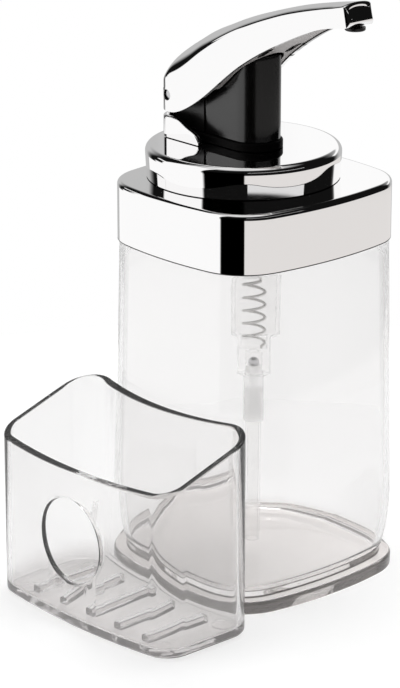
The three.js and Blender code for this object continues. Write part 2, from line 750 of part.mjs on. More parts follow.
function ferrule() {
  const socket = TUBE_RADIUS + GAP;
  const socketTop = ferruleBottom + FERRULE_SOCKET;
  return turned([
    [socket, ferruleBottom],
    [FERRULE_RADIUS, ferruleBottom],
    [FERRULE_RADIUS, ferruleTop],
    [VALVE_CHAMBER - GAP, ferruleTop],
    [VALVE_CHAMBER - GAP, seatHeight],
    [SEAT_RADIUS, seatHeight],
    [VALVE_PORT, seatHeight - SEAT_RADIUS + VALVE_PORT],
    [VALVE_PORT, socketTop],
    [socket, socketTop],
  ]);
}

function inletBall() {
  const centre = seatHeight + Math.sqrt(BALL_RADIUS ** 2 - SEAT_RADIUS ** 2) + GAP;
  const ball = new THREE.SphereGeometry(BALL_RADIUS, SMALL_TURN, SMALL_TURN / 2);
  return solidFrom(ball.translate(0, 0, centre));
}

function dipTube() {
  const top = ferruleBottom + FERRULE_SOCKET - GAP;
  const bottom = BOTTLE_FLOOR + TUBE_FLOOR_GAP;
  const inner = TUBE_RADIUS - TUBE_WALL;
  return turned([[inner, bottom], [TUBE_RADIUS, bottom], [TUBE_RADIUS, top], [inner, top]]);
}

// Centre line of the spring's wire: upright ends, one wire diameter long, and a steady helix
function springPath() {
  const bottom = springFloor + GAP;
  const top = sealBottom - GAP;
  const steps = SPRING_CURLS * CURL_STEPS;
  const helix = Array.from({ length: steps + 1 }, (_, i) => {
    const angle = i / CURL_STEPS * Math.PI * 2;
    const height = THREE.MathUtils.lerp(bottom + SPRING_WIRE, top - SPRING_WIRE, i / steps);
    return new THREE.Vector3(SPRING_RADIUS * Math.cos(angle), SPRING_RADIUS * Math.sin(angle), height);
  });
  const start = new THREE.Vector3(SPRING_RADIUS, 0, bottom);
  const end = helix.at(-1).clone().setZ(top);
  return [start, ...helix, end];
}

// Least gap between stretches of the wire that lie more than a few diameters apart along it
function leastGap(path) {
  const along = [0];
  for (let i = 1; i < path.length; i += 1) along.push(along[i - 1] + path[i].distanceTo(path[i - 1]));
  let least = Infinity;
  for (let i = 0; i < path.length; i += 1) {
    for (let j = i + 1; j < path.length; j += 1) {
      if (along[j] - along[i] < 4 * SPRING_WIRE) continue;
      least = Math.min(least, path[i].distanceTo(path[j]) - SPRING_WIRE);
    }
  }
  return least;
}

function returnSpring() {
  const path = springPath();
  const rings = path.map((point, i) => {
    const before = path[Math.max(i - 1, 0)];
    const after = path[Math.min(i + 1, path.length - 1)];
    const forward = after.clone().sub(before).normalize();
    const outward = new THREE.Vector3(point.x, point.y, 0).normalize();
    const side = forward.clone().cross(outward).normalize();
    return Array.from({ length: WIRE_SIDES }, (_, k) => {
      const angle = k / WIRE_SIDES * Math.PI * 2;
      return point.clone()
        .addScaledVector(outward, Math.cos(angle) * SPRING_WIRE / 2)
        .addScaledVector(side, Math.sin(angle) * SPRING_WIRE / 2);
    });
  });
  console.log(`return_spring least gap ${leastGap(path).toFixed(2)} mm`);
  return loft(rings);
}

// Caddy

// Plan of the caddy inside a wall: bowed front, straight sides and a hollow back that follows the bottle
function caddyPlan(wall) {
  const half = CADDY_HALF - wall;
  const front = CADDY_FRONT_RADIUS - wall;
  const back = CADDY_BACK_RADIUS + wall;
  const frontCorner = CADDY_FRONT_CORNER - wall;
  const backCorner = CADDY_BACK_CORNER - wall;
  const frontBow = new THREE.Vector2(0, caddyFront + CADDY_FRONT_RADIUS);
  const backBow = new THREE.Vector2(0, caddyBack + CADDY_BACK_RADIUS);
  const frontX = half - frontCorner;
  const backX = half - backCorner;
  const frontY = frontBow.y - Math.sqrt((front - frontCorner) ** 2 - frontX ** 2);
  const backY = backBow.y - Math.sqrt((back + backCorner) ** 2 - backX ** 2);
  const frontTurn = Math.atan2(frontX, frontBow.y - frontY);
  const backTurn = Math.atan2(backX, backBow.y - backY);
  const down = -Math.PI / 2;
  const right = [
    ...arc(frontBow, front, down, down + frontTurn, ARC_STEPS / 2),
    ...arc(new THREE.Vector2(frontX, frontY), frontCorner, down + frontTurn, 0, CORNER_STEPS),
    ...arc(new THREE.Vector2(backX, backY), backCorner, 0, Math.PI / 2 + backTurn, CORNER_STEPS),
    ...arc(backBow, back, down + backTurn, down, ARC_STEPS / 2),
  ];
  const middle = new THREE.Vector2(0, backBow.y - back);
  const left = right.slice(1).reverse().map((p) => new THREE.Vector2(-p.x, p.y));
  const shift = new THREE.Vector2(CADDY_SHIFT, 0);
  return [...right, middle, ...left].map((p) => p.add(shift));
}

function caddy() {
  const floorTop = CADDY_FOOT + CADDY_FLOOR;
  const tall = RIM_BACK + CADDY_BACK_CORNER;
  const ring = (inset, rise) => (
    caddyPlan(inset).map((p) => new THREE.Vector3(p.x, p.y, CADDY_FOOT + rise))
  );
  const softened = CADDY_EDGE * (1 - Math.SQRT1_2);
  const body = loft([
    ring(CADDY_EDGE, 0),
    ring(softened, softened),
    ring(0, CADDY_EDGE),
    ring(0, tall),
  ]);
  const hollow = prism(caddyPlan(CADDY_WALL), floorTop, tall + CADDY_WALL);
  const rise = (RIM_BACK - RIM_FRONT) / CADDY_DEPTH;
  const reach = CADDY_DEPTH;
  const overRim = new THREE.Shape([
    new THREE.Vector2(caddyFront - reach, RIM_FRONT - rise * reach),
    new THREE.Vector2(caddyBack + reach, RIM_BACK + rise * reach),
    new THREE.Vector2(caddyBack + reach, tall * 2),
    new THREE.Vector2(caddyFront - reach, tall * 2),
  ]);
  const cut = new THREE.ExtrudeGeometry(overRim, { depth: 3 * CADDY_HALF, bevelEnabled: false });
  cut.rotateX(Math.PI / 2).rotateZ(Math.PI / 2).translate(CADDY_SHIFT - 1.5 * CADDY_HALF, 0, 0);
  const holeX = CADDY_SHIFT + HOLE_SHIFT;
  const holeEnd = caddyFront + 3 * CADDY_WALL;
  const hole = crossCylinder(HOLE_RADIUS, holeX, HOLE_HEIGHT, caddyFront - CADDY_WALL, holeEnd);
  const ribFront = caddyFront + CADDY_WALL + RIB_MARGIN;
  const ribBack = caddyBack - CADDY_WALL - RIB_MARGIN;
  const ribs = Array.from({ length: RIB_COUNT }, (_, i) => {
    const x = CADDY_SHIFT + RIB_SHIFT + (i - (RIB_COUNT - 1) / 2) * RIB_PITCH;
    return box(
      [x - RIB_WIDTH / 2, ribFront, floorTop - GAP],
      [x + RIB_WIDTH / 2, ribBack, floorTop + RIB_HEIGHT],
    );
  });
  const footX = CADDY_HALF - CADDY_FOOT_INSET;
  const footFront = caddyFront + CADDY_FOOT_INSET;
  const footBack = caddyBack - CADDY_FOOT_RADIUS;
  const corners = [[-footX, footFront], [footX, footFront], [-footX, footBack], [footX, footBack]];
  const feet = corners.map(([x, y]) => (
    cylinder(CADDY_FOOT_RADIUS, 0, CADDY_FOOT + GAP).translate([CADDY_SHIFT + x, y, 0])
  ));
  return body.subtract(hollow).subtract(solidFrom(cut)).subtract(hole).add(join(ribs)).add(join(feet));
}

// Materials and the finished group

const clearPlastic = { color: 0xe9e6e6, roughness: 0.05, metalness: 0 };
const chrome = { color: 0xe8e8ea, roughness: 0.05, metalness: 1 };
const blackPlastic = { color: 0x121110, roughness: 0.35, metalness: 0 };
const greyPlastic = { color: 0xb9b5b1, roughness: 0.3, metalness: 0.6 };
const milkyPlastic = { color: 0xf1f0ee, roughness: 0.25, metalness: 0 };
const whiteRubber = { color: 0xe4e2df, roughness: 0.6, metalness: 0 };
const steel = { color: 0xc9c9cb, roughness: 0.25, metalness: 1 };

const pieces = [
  ['bottle', bottle, clearPlastic],
  ['cap_shell', capShell, chrome],
  ['cap_liner', capLiner, milkyPlastic],
  ['cap_gasket', capGasket, whiteRubber],
  ['collar', collar, chrome],
  ['retaining_nut', retainingNut, blackPlastic],
  ['column_ring', columnRing, blackPlastic],
  ['column', column, blackPlastic],
  ['hinge_block', hingeBlock, blackPlastic],
  ['hinge_pin', hingePin, steel],
  ['heel', heel, chrome],
  ['lever', lever, chrome],
  ['lever_liner', leverLiner, greyPlastic],
  ['nozzle', nozzle, blackPlastic],
  ['plunger', plunger, milkyPlastic],
  ['piston_seal', pistonSeal, whiteRubber],
  ['return_spring', returnSpring, steel],
  ['cylinder', pumpCylinder, milkyPlastic],
  ['rod_seal', rodSeal, whiteRubber],
  ['inlet_ball', inletBall, steel],
  ['ferrule', ferrule, milkyPlastic],
  ['dip_tube', dipTube, milkyPlastic],
  ['caddy', caddy, clearPlastic],
];

const dispenser = new THREE.Group();
for (const [name, make, finish] of pieces) {
  const { vertProperties, triVerts } = make().getMesh();
  const geometry = new THREE.BufferGeometry();
  geometry.setAttribute('position', new THREE.BufferAttribute(vertProperties, 3));
  geometry.setIndex(new THREE.BufferAttribute(triVerts, 1));
  geometry.computeVertexNormals();
  const mesh = new THREE.Mesh(geometry, new THREE.MeshStandardMaterial(finish));
  mesh.name = name;
  dispenser.add(mesh);
}

export default dispenser;
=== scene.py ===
"""A lever soap dispenser with a clear bottle, and the sponge caddy that stands in front of it.

Sizes are in millimetres, and skin() puts each finished mesh in metres. The spout points along +X, and the
caddy stands on the -Y side. Sections follow the object as it is put together, from the bottle up.
"""

import math

import bmesh
import bpy
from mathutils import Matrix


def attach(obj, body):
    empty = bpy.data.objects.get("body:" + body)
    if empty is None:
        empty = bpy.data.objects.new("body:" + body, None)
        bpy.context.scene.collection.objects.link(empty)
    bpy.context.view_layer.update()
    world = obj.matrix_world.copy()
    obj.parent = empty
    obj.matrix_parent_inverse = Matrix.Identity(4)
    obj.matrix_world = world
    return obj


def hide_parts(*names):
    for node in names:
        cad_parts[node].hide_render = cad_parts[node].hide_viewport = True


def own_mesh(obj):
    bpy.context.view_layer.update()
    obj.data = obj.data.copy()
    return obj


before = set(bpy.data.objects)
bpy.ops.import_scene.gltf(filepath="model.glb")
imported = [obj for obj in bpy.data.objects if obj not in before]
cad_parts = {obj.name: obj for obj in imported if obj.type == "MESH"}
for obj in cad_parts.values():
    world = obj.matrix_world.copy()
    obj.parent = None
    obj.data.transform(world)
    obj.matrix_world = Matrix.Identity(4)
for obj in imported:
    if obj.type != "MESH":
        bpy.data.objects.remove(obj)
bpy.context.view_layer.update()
scene = bpy.context.scene
scene.view_settings.view_transform = "Standard"


# Camera. It stands in front, between the spout and the caddy, and looks down on the cap with a long lens.
CAMERA_PLACE = (0.8286, -0.7763, 0.4703)
CAMERA_PITCH = 0.324
CAMERA_TURN = 0.836
FOCAL_PIXELS = 3146
PICTURE_HEIGHT = 688
SENSOR = 36

camera_data = bpy.data.cameras.new("camera")
camera_data.sensor_fit = "VERTICAL"
camera_data.sensor_height = SENSOR
camera_data.lens = FOCAL_PIXELS / PICTURE_HEIGHT * SENSOR
camera = bpy.data.objects.new("camera", camera_data)
camera.location = CAMERA_PLACE
camera.rotation_euler = (math.pi / 2 - CAMERA_PITCH, 0, CAMERA_TURN)
scene.collection.objects.link(camera)
scene.camera = camera


# Table and light. A round white table stands in a dark room with a white floor and board to the left, a
# greyer floor to the right, a backdrop, a dim wall, a soft ceiling and two slim strips of light. A black card
# in front gives the chrome its stripes.
MILLIMETRE = 0.001
WHITE = (1, 1, 1, 1)
TABLE_RADIUS = 300
TABLE_DROP = 0.2
TABLE_STEPS = 96
TABLE_GLOW = 0.45
TABLE_LIFT = 0.33
TABLE_LIFT_THROUGH = 0.15
ROOM_LEVEL = 0.006
WARM = (1, 0.96, 0.935, 1)
# Each patch of the room: its azimuth and half width, its lowest and highest elevation and the softness of its
# edges in degrees, then its level
RIGHT_FLOOR = (128, 80, -90, -15.5, 0.3, 0.77)
BACKDROP = (205, 23.8, 10, 21, 3, 1.0)
LEFT_FLOOR = (-44, 56, -90, -14.4, 0.5, 1.0)
LEFT_FLOOR_FAR = (-32, 44, -90, -6, 3, 1.0)
LEFT_BOARD = (-31, 29, -20, 62, 2, 1.0)
DIM_WALL = (-135, 40.4, -60, 26, 11.6, 0.52)
CEILING = (0, 190, 62, 90, 12, 0.8)
RIGHT_STRIP = (88, 36, 18, 21.2, 0.3, 0.77)
LEFT_STRIP = (-68, 9, 17, 24, 1, 1.0)
BLACK_CARD = (23.5, 24.5, -70, 16, 2, 1.0)
LAMP_PLACE = (-0.1, 0.25, 1.5)
LAMP_SIZE = 1
LAMP_POWER = 13


def link_or_set(tree, socket, value):
    """Puts a number on a socket, or links another node's output to it."""
    if isinstance(value, bpy.types.NodeSocket):
        tree.links.new(value, socket)
    else:
        socket.default_value = value


def calc(tree, operation, *values):
    """One Math node on numbers or sockets."""
    node = tree.nodes.new("ShaderNodeMath")
    node.operation = operation
    for socket, value in zip(node.inputs, values):
        link_or_set(tree, socket, value)
    return node.outputs[0]


def ramp(tree, value, start, end):
    """Smooth step from 0 at start to 1 at end."""
    node = tree.nodes.new("ShaderNodeMapRange")
    node.interpolation_type = "SMOOTHSTEP"
    link_or_set(tree, node.inputs["Value"], value)
    node.inputs["From Min"].default_value = start
    node.inputs["From Max"].default_value = end
    return node.outputs["Result"]


world = bpy.data.worlds.new("studio")
scene.world = world
world.use_nodes = True
studio = world.node_tree
direction = studio.nodes.new("ShaderNodeSeparateXYZ")
studio.links.new(studio.nodes.new("ShaderNodeTexCoord").outputs["Generated"], direction.inputs[0])
backward = calc(studio, "MULTIPLY", direction.outputs["Y"], -1)
azimuth = calc(studio, "ARCTAN2", direction.outputs["X"], backward)
elevation = calc(studio, "ARCSINE", direction.outputs["Z"])


def patch(middle, half, low, high, soft, strength):
    """Soft-edged patch of the room, its strength inside and 0 outside; angles in degrees."""
    off = calc(studio, "SUBTRACT", azimuth, math.radians(middle))
    aside = calc(studio, "ABSOLUTE", calc(studio, "WRAP", off, math.pi, -math.pi))
    across = ramp(studio, aside, math.radians(half + soft), math.radians(half - soft))
    above = ramp(studio, elevation, math.radians(low - soft), math.radians(low + soft))
    below = ramp(studio, elevation, math.radians(high + soft), math.radians(high - soft))
    inside = calc(studio, "MULTIPLY", calc(studio, "MULTIPLY", across, above), below)
    return calc(studio, "MULTIPLY", inside, strength)


warm_floor = patch(*RIGHT_FLOOR)
level = calc(studio, "MAXIMUM", warm_floor, ROOM_LEVEL)
for sizes in (
    BACKDROP, LEFT_FLOOR, LEFT_FLOOR_FAR, LEFT_BOARD, DIM_WALL, CEILING, RIGHT_STRIP, LEFT_STRIP,
):
    level = calc(studio, "MAXIMUM", patch(*sizes), level)
level = calc(studio, "MULTIPLY", level, calc(studio, "SUBTRACT", 1, patch(*BLACK_CARD)))
rays = studio.nodes.new("ShaderNodeLightPath")
level = calc(studio, "MAXIMUM", level, rays.outputs["Is Transmission Ray"])
level = calc(studio, "MAXIMUM", level, rays.outputs["Is Camera Ray"])
studio.links.new(level, studio.nodes["Background"].inputs["Strength"])
tone = studio.nodes.new("ShaderNodeMixRGB")
tone.inputs["Color1"].default_value = WHITE
tone.inputs["Color2"].default_value = WARM
studio.links.new(warm_floor, tone.inputs["Fac"])
studio.links.new(tone.outputs["Color"], studio.nodes["Background"].inputs["Color"])

table_mesh = bpy.data.meshes.new("table")
table_shape = bmesh.new()
bmesh.ops.create_circle(
    table_shape, cap_ends=True, segments=TABLE_STEPS, radius=TABLE_RADIUS * MILLIMETRE
)
table_shape.to_mesh(table_mesh)
table_shape.free()
table = bpy.data.objects.new("table", table_mesh)
table.location.z = -TABLE_DROP * MILLIMETRE
scene.collection.objects.link(table)

white = bpy.data.materials.new("white_table")
white.use_nodes = True
paper = white.node_tree
paper.nodes.clear()
kind = paper.nodes.new("ShaderNodeLightPath")
glow = paper.nodes.new("ShaderNodeEmission")
lift = calc(paper, "MULTIPLY", kind.outputs["Is Camera Ray"], TABLE_LIFT)
lift = calc(paper, "MULTIPLY_ADD", kind.outputs["Is Transmission Ray"], TABLE_LIFT_THROUGH, lift)
paper.links.new(calc(paper, "ADD", lift, 1), glow.inputs["Strength"])
paint = paper.nodes.new("ShaderNodeBsdfDiffuse")
share = paper.nodes.new("ShaderNodeMixShader")
share.inputs["Fac"].default_value = TABLE_GLOW
paint.inputs["Color"].default_value = WHITE
paper.links.new(paint.outputs[0], share.inputs[1])
paper.links.new(glow.outputs[0], share.inputs[2])
paper.links.new(share.outputs[0], paper.nodes.new("ShaderNodeOutputMaterial").inputs["Surface"])
table_mesh.materials.append(white)

lamp_data = bpy.data.lights.new("broad_lamp", "AREA")
lamp_data.energy = LAMP_POWER
lamp_data.size = LAMP_SIZE
lamp = bpy.data.objects.new("broad_lamp", lamp_data)
lamp.location = LAMP_PLACE
lamp.rotation_euler = (-lamp.location).to_track_quat("-Z", "Y").to_euler()
lamp.visible_glossy = False
scene.collection.objects.link(lamp)


# Bottle. A clear moulded bottle with bowed sides, a straight taper, a hull that draws in over a projecting
# foot, a thick floor and a plain neck that the cap's liner plugs.
PLAN_HALF_X = 42.5
PLAN_HALF_Y = 45.9
PLAN_SIDE_RADIUS = 155
PLAN_CORNER_RADIUS = 21
PLAN_SIDE_STEPS = 8
PLAN_CORNER_STEPS = 16
BOTTLE_HEIGHT = 131.7
BOTTLE_WALL = 2.6
BOTTLE_FLOOR = 6.8
FLOOR_FILLET = 4
SHOULDER_INSET = 0.7
SHOULDER_EDGE = 0.9
BELLY_PROUD = 1.5
BELLY_HEIGHT = 32
HULL_DEPTH = 9.2
HULL_STEPS = 18
HULL_STEP_IN = 0.6
FOOT_PROUD = 2.2
FOOT_HEIGHT = 5
FOOT_EDGE = 1.3
NECK_INSET = 3.2
NECK_WALL = 2.2
NECK_TOP = 144.2
EDGE_STEPS = 6
SHARP_ANGLE = 40
WELD = 1e-7
NOISE_DETAIL = 3
BOTTLE_TINT = (0.75, 0.715, 0.7, 1)
BOTTLE_BEND = 1.45
CLEAR_HIGH = (0.985, 0.981, 0.98, 1)
BOTTLE_PASSING = 0.87
CLEAR_PASSING = 0.968
SMOKE_HEIGHT = 12


def arc(centre, radius, start, end, steps):
    """Points on an arc, both ends with it; angles in degrees."""
    angles = [math.radians(start + (end - start) * i / steps) for i in range(steps + 1)]
    return [(centre[0] + radius * math.cos(a), centre[1] + radius * math.sin(a)) for a in angles]


def plan(outset):
    """Outline of the bottle and cap, offset outwards from the cap's own."""
    side = PLAN_SIDE_RADIUS + outset
    corner = PLAN_CORNER_RADIUS + outset
    bow_x = PLAN_HALF_X - PLAN_SIDE_RADIUS
    bow_y = PLAN_HALF_Y - PLAN_SIDE_RADIUS
    spread = math.hypot(bow_x, bow_y)
    reach = math.sqrt((side - corner) ** 2 - (spread / 2) ** 2)
    centre = (bow_x / 2 - bow_y / spread * reach, bow_y / 2 - bow_x / spread * reach)
    start = math.degrees(math.atan2(centre[1], centre[0] - bow_x))
    end = math.degrees(math.atan2(centre[1] - bow_y, centre[0]))
    quarter = arc((bow_x, 0), side, 0, start, PLAN_SIDE_STEPS)[:-1]
    quarter += arc(centre, corner, start, end, PLAN_CORNER_STEPS)[:-1]
    quarter += arc((0, bow_y), side, end, 90, PLAN_SIDE_STEPS)
    half = quarter + [(-x, y) for x, y in reversed(quarter[1:-1])]
    return half + [(-x, -y) for x, y in half]


def plan_rings(levels):
    """One ring of points over the plan for each (outset, height)."""
    return [[(x, y, z) for x, y in plan(outset)] for outset, z in levels]


def skin(name, rings, closed=False, sharp=SHARP_ANGLE):
    """Smooth mesh object over rings of equally many points, capped at both ends or closed on itself."""
    count = len(rings[0])
    faces = []
    for i in range(len(rings) if closed else len(rings) - 1):
        low = i * count
        high = (i + 1) % len(rings) * count
        for j in range(count):
            k = (j + 1) % count
            faces.append((low + j, low + k, high + k, high + j))
    if not closed:
        last = (len(rings) - 1) * count
        faces.append(tuple(reversed(range(count))))
        faces.append(tuple(range(last, last + count)))
    points = [[value * MILLIMETRE for value in point] for ring in rings for point in ring]
    mesh = bpy.data.meshes.new(name)
    mesh.from_pydata(points, [], faces)
    shape = bmesh.new()
    shape.from_mesh(mesh)
    bmesh.ops.remove_doubles(shape, verts=shape.verts, dist=WELD)
    bmesh.ops.recalc_face_normals(shape, faces=shape.faces)
    shape.to_mesh(mesh)
    shape.free()
    mesh.shade_smooth()
    mesh.set_sharp_from_angle(angle=math.radians(sharp))
    piece = bpy.data.objects.new(name, mesh)
    scene.collection.objects.link(piece)
    return piece


def finish_material(name, roughness, flaw, flaw_scale, bump=0, **values):
    """Principled material whose roughness and surface vary a little; flaw_scale is in waves per metre.

    The values go on the shader's own sockets; underscores stand for spaces.
    """
    material = bpy.data.materials.new(name)
    material.use_nodes = True
    tree = material.node_tree
    shader = tree.nodes["Principled BSDF"]
    noise = tree.nodes.new("ShaderNodeTexNoise")
    noise.inputs["Scale"].default_value = flaw_scale
    noise.inputs["Detail"].default_value = NOISE_DETAIL
    tree.links.new(tree.nodes.new("ShaderNodeTexCoord").outputs["Object"], noise.inputs["Vector"])
    spread = tree.nodes.new("ShaderNodeMapRange")
    tree.links.new(noise.outputs["Fac"], spread.inputs["Value"])
    spread.inputs["To Min"].default_value = max(roughness - flaw, 0)
    spread.inputs["To Max"].default_value = roughness + flaw
    tree.links.new(spread.outputs["Result"], shader.inputs["Roughness"])
    if bump:
        relief = tree.nodes.new("ShaderNodeBump")
        relief.inputs["Strength"].default_value = 1
        relief.inputs["Distance"].default_value = bump * MILLIMETRE
        tree.links.new(noise.outputs["Fac"], relief.inputs["Height"])
        tree.links.new(relief.outputs["Normal"], shader.inputs["Normal"])
    for socket, value in values.items():
        shader.inputs[socket.replace("_", " ")].default_value = value
    return material


def place(piece, body, slot, material, *nodes):
    """Gives a finished piece its material, its body and the solids that it stands for."""
    piece.data.materials.clear()
    piece.data.materials.append(material)
    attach(piece, body)
    if nodes:
        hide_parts(*nodes)


def bottle_outset(z):
    """Outset of the bottle's outer wall at a height."""
    if z < BELLY_HEIGHT:
        below = (BELLY_HEIGHT - z) / BELLY_HEIGHT
        return BELLY_PROUD - HULL_DEPTH * (1 - math.sqrt(1 - below ** 2))
    above = (z - BELLY_HEIGHT) / (BOTTLE_HEIGHT - BELLY_HEIGHT)
    return BELLY_PROUD - (BELLY_PROUD + SHOULDER_INSET) * above


def clear_finish(name, bend, tint, passing_low):
    """Clear plastic of a refractive index, tinted and a little hazy near the table."""
    material = finish_material(name, roughness=0.012, flaw=0.012, flaw_scale=40, IOR=bend)
    tree = material.node_tree
    shader = tree.nodes["Principled BSDF"]
    height = tree.nodes.new("ShaderNodeSeparateXYZ")
    tree.links.new(tree.nodes.new("ShaderNodeTexCoord").outputs["Object"], height.inputs[0])
    rise = ramp(tree, height.outputs["Z"], 0, SMOKE_HEIGHT * MILLIMETRE)
    smoke = tree.nodes.new("ShaderNodeMixRGB")
    smoke.inputs["Color1"].default_value = tint
    smoke.inputs["Color2"].default_value = CLEAR_HIGH
    tree.links.new(rise, smoke.inputs["Fac"])
    tree.links.new(smoke.outputs["Color"], shader.inputs["Base Color"])
    passing = calc(tree, "MULTIPLY_ADD", rise, CLEAR_PASSING - passing_low, passing_low)
    tree.links.new(passing, shader.inputs["Transmission Weight"])
    return material


clear_plastic = clear_finish("clear_plastic", BOTTLE_BEND, BOTTLE_TINT, BOTTLE_PASSING)

foot_low = arc((FOOT_PROUD - FOOT_EDGE / 2, FOOT_EDGE / 2), FOOT_EDGE / 2, -90, 0, EDGE_STEPS)
foot_high = arc((FOOT_PROUD - FOOT_EDGE, FOOT_HEIGHT - FOOT_EDGE), FOOT_EDGE, 0, 90, EDGE_STEPS)
hull_start = FOOT_HEIGHT + HULL_STEP_IN
hull = [hull_start + (BELLY_HEIGHT - hull_start) * i / HULL_STEPS for i in range(HULL_STEPS + 1)]
shoulder = bottle_outset(BOTTLE_HEIGHT)
shoulder_middle = (shoulder - SHOULDER_EDGE, BOTTLE_HEIGHT - SHOULDER_EDGE)
shoulder_edge = arc(shoulder_middle, SHOULDER_EDGE, 0, 90, EDGE_STEPS)
neck_in = -NECK_INSET - NECK_WALL
neck_middle = (-NECK_INSET - NECK_WALL / 2, NECK_TOP - NECK_WALL / 2)
neck_edge = arc(neck_middle, NECK_WALL / 2, 0, 180, 2 * EDGE_STEPS)
inner_hull = [z for z in reversed(hull) if z > BOTTLE_FLOOR + FLOOR_FILLET]
floor_edge = [math.radians(90 * i / EDGE_STEPS) for i in range(EDGE_STEPS + 1)]
bottle_levels = [(foot_low[0][0] - FOOT_EDGE, 0), *foot_low, *foot_high]
bottle_levels += [(bottle_outset(FOOT_HEIGHT) + HULL_STEP_IN, FOOT_HEIGHT)]
bottle_levels += [(bottle_outset(z), z) for z in hull]
bottle_levels += [*shoulder_edge, (-NECK_INSET, BOTTLE_HEIGHT), *neck_edge]
bottle_levels += [(neck_in, BOTTLE_HEIGHT - BOTTLE_WALL)]
bottle_levels += [(shoulder - BOTTLE_WALL, BOTTLE_HEIGHT - 2 * BOTTLE_WALL)]
bottle_levels += [(bottle_outset(z) - BOTTLE_WALL, z) for z in inner_hull]
for turn in floor_edge:
    z = BOTTLE_FLOOR + FLOOR_FILLET * (1 - math.sin(turn))
    bottle_levels.append((bottle_outset(z) - BOTTLE_WALL - FLOOR_FILLET * (1 - math.cos(turn)), z))
bottle = skin("clear_bottle", plan_rings(bottle_levels))
place(bottle, "bottle", "clear_plastic", clear_plastic, "bottle")
bottle.visible_shadow = False


# Cap. A chromed plastic shell over the bottle's shoulder, with a crisp rounded top edge; the thin band along
# its lower edge is painted black: painted shade of the gap over the bottle. It lifts off with the whole pump.
CAP_BOTTOM = 132
CAP_TOP = 154.7
CAP_WALL = 1.6
CAP_CEILING = 2
CAP_EDGE = 1.6
CAP_LIP = 0.4
CAP_SHADE_BAND = 0.4
BOSS_HOLE = 8.9
CHROME_COLOUR = (0.96, 0.955, 0.955, 1)
BLACK_COLOUR = (0.01, 0.009, 0.009, 1)


def circle_ring(radius, z, outline, x=0):
    """Circle whose points lie at the same angles as an outline's."""
    angles = [math.atan2(point[1], point[0]) for point in outline]
    return [(x + radius * math.cos(a), radius * math.sin(a), z) for a in angles]


chrome = finish_material(
    "mirror_chrome", roughness=0.03, flaw=0.012, flaw_scale=220, Base_Color=CHROME_COLOUR, Metallic=1
)
black_plastic = finish_material(
    "satin_black", roughness=0.3, flaw=0.05, flaw_scale=900, bump=0.008, Base_Color=BLACK_COLOUR
)

cap_edge = arc((-CAP_EDGE, CAP_TOP - CAP_EDGE), CAP_EDGE, 0, 90, EDGE_STEPS)
cap_levels = [(-CAP_WALL, CAP_TOP - CAP_CEILING), (-CAP_WALL, CAP_BOTTOM)]
cap_levels += [(0, CAP_BOTTOM), (0, CAP_BOTTOM + CAP_SHADE_BAND), (0, CAP_TOP - CAP_EDGE - CAP_LIP)]
cap_levels += [*cap_edge, (-CAP_EDGE - CAP_LIP, CAP_TOP)]
cap_outline = plan(0)
cap_rings = [circle_ring(BOSS_HOLE, CAP_TOP - CAP_CEILING, cap_outline), *plan_rings(cap_levels)]
cap_rings += [circle_ring(BOSS_HOLE, CAP_TOP, cap_outline)]
cap = skin("chrome_cap", cap_rings, closed=True)
place(cap, "pump_unit", "chrome", chrome, "cap_shell")
cap.data.materials.append(black_plastic)
# The lowest band of the shell gets the black material: painted shade of the gap between cap and bottle.
for face in cap.data.polygons:
    if face.center.z < (CAP_BOTTOM + CAP_SHADE_BAND) * MILLIMETRE:
        face.material_index = 1


# Inside of the cap. A natural plastic liner plugs the neck, with a flat white seal on the neck's rim, and a
# black ring nut clamps the pump's boss from below. They keep the shapes of the solids.
NATURAL_COLOUR = (0.98, 0.975, 0.97, 1)
SEAL_COLOUR = (0.86, 0.85, 0.84, 1)


def dress(node, material):
    """Puts a finish on a solid that keeps its own shape."""
    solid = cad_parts[node]
    solid.data.materials.clear()
    solid.data.materials.append(material)


milky_plastic = finish_material(
    "natural_plastic", roughness=0.3, flaw=0.08, flaw_scale=300, bump=0.01,
    Base_Color=NATURAL_COLOUR, Transmission_Weight=0.6, IOR=1.2, Alpha=0.3,
)
seal_rubber = finish_material(
    "seal_rubber", roughness=0.6, flaw=0.1, flaw_scale=500, bump=0.02, Base_Color=SEAL_COLOUR
)

dress("cap_liner", milky_plastic)
dress("cap_gasket", seal_rubber)
dress("retaining_nut", black_plastic)


# Collar. A chromed hollow disc with a rounded top edge, set back on the cap so that it ends flush with the
# back. The boss of the pump column passes through it and holds it down.
COLLAR_X = -6.2
COLLAR_BOTTOM = 155
COLLAR_RADIUS = 36.9
COLLAR_DRAFT = 0.5
COLLAR_EDGE = 2.5
COLLAR_WALL = 2.4
DECK = 167
ROUND_STEPS = 128


def round_ring(radius, z, x=0, steps=ROUND_STEPS):
    """Circle of points about a vertical axis at x."""
    turns = [2 * math.pi * i / steps for i in range(steps)]
    return [(x + radius * math.cos(turn), radius * math.sin(turn), z) for turn in turns]


collar_in = COLLAR_RADIUS - COLLAR_DRAFT - COLLAR_WALL
collar_out = COLLAR_RADIUS - COLLAR_DRAFT
collar_edge = arc((COLLAR_RADIUS - COLLAR_EDGE, DECK - COLLAR_EDGE), COLLAR_EDGE, 0, 90, 2 * EDGE_STEPS)
collar_levels = [(collar_in, DECK - COLLAR_WALL), (collar_in, COLLAR_BOTTOM)]
collar_levels += [(collar_out, COLLAR_BOTTOM), (COLLAR_RADIUS, DECK - COLLAR_EDGE - CAP_LIP)]
collar_levels += [*collar_edge, (COLLAR_RADIUS - COLLAR_EDGE - CAP_LIP, DECK)]
collar_rings = [round_ring(BOSS_HOLE, DECK - COLLAR_WALL)]
collar_rings += [round_ring(radius, z, COLLAR_X) for radius, z in collar_levels]
collar_rings += [round_ring(BOSS_HOLE, DECK)]
collar = skin("chrome_collar", collar_rings, closed=True)
place(collar, "pump_unit", "chrome", chrome, "collar")


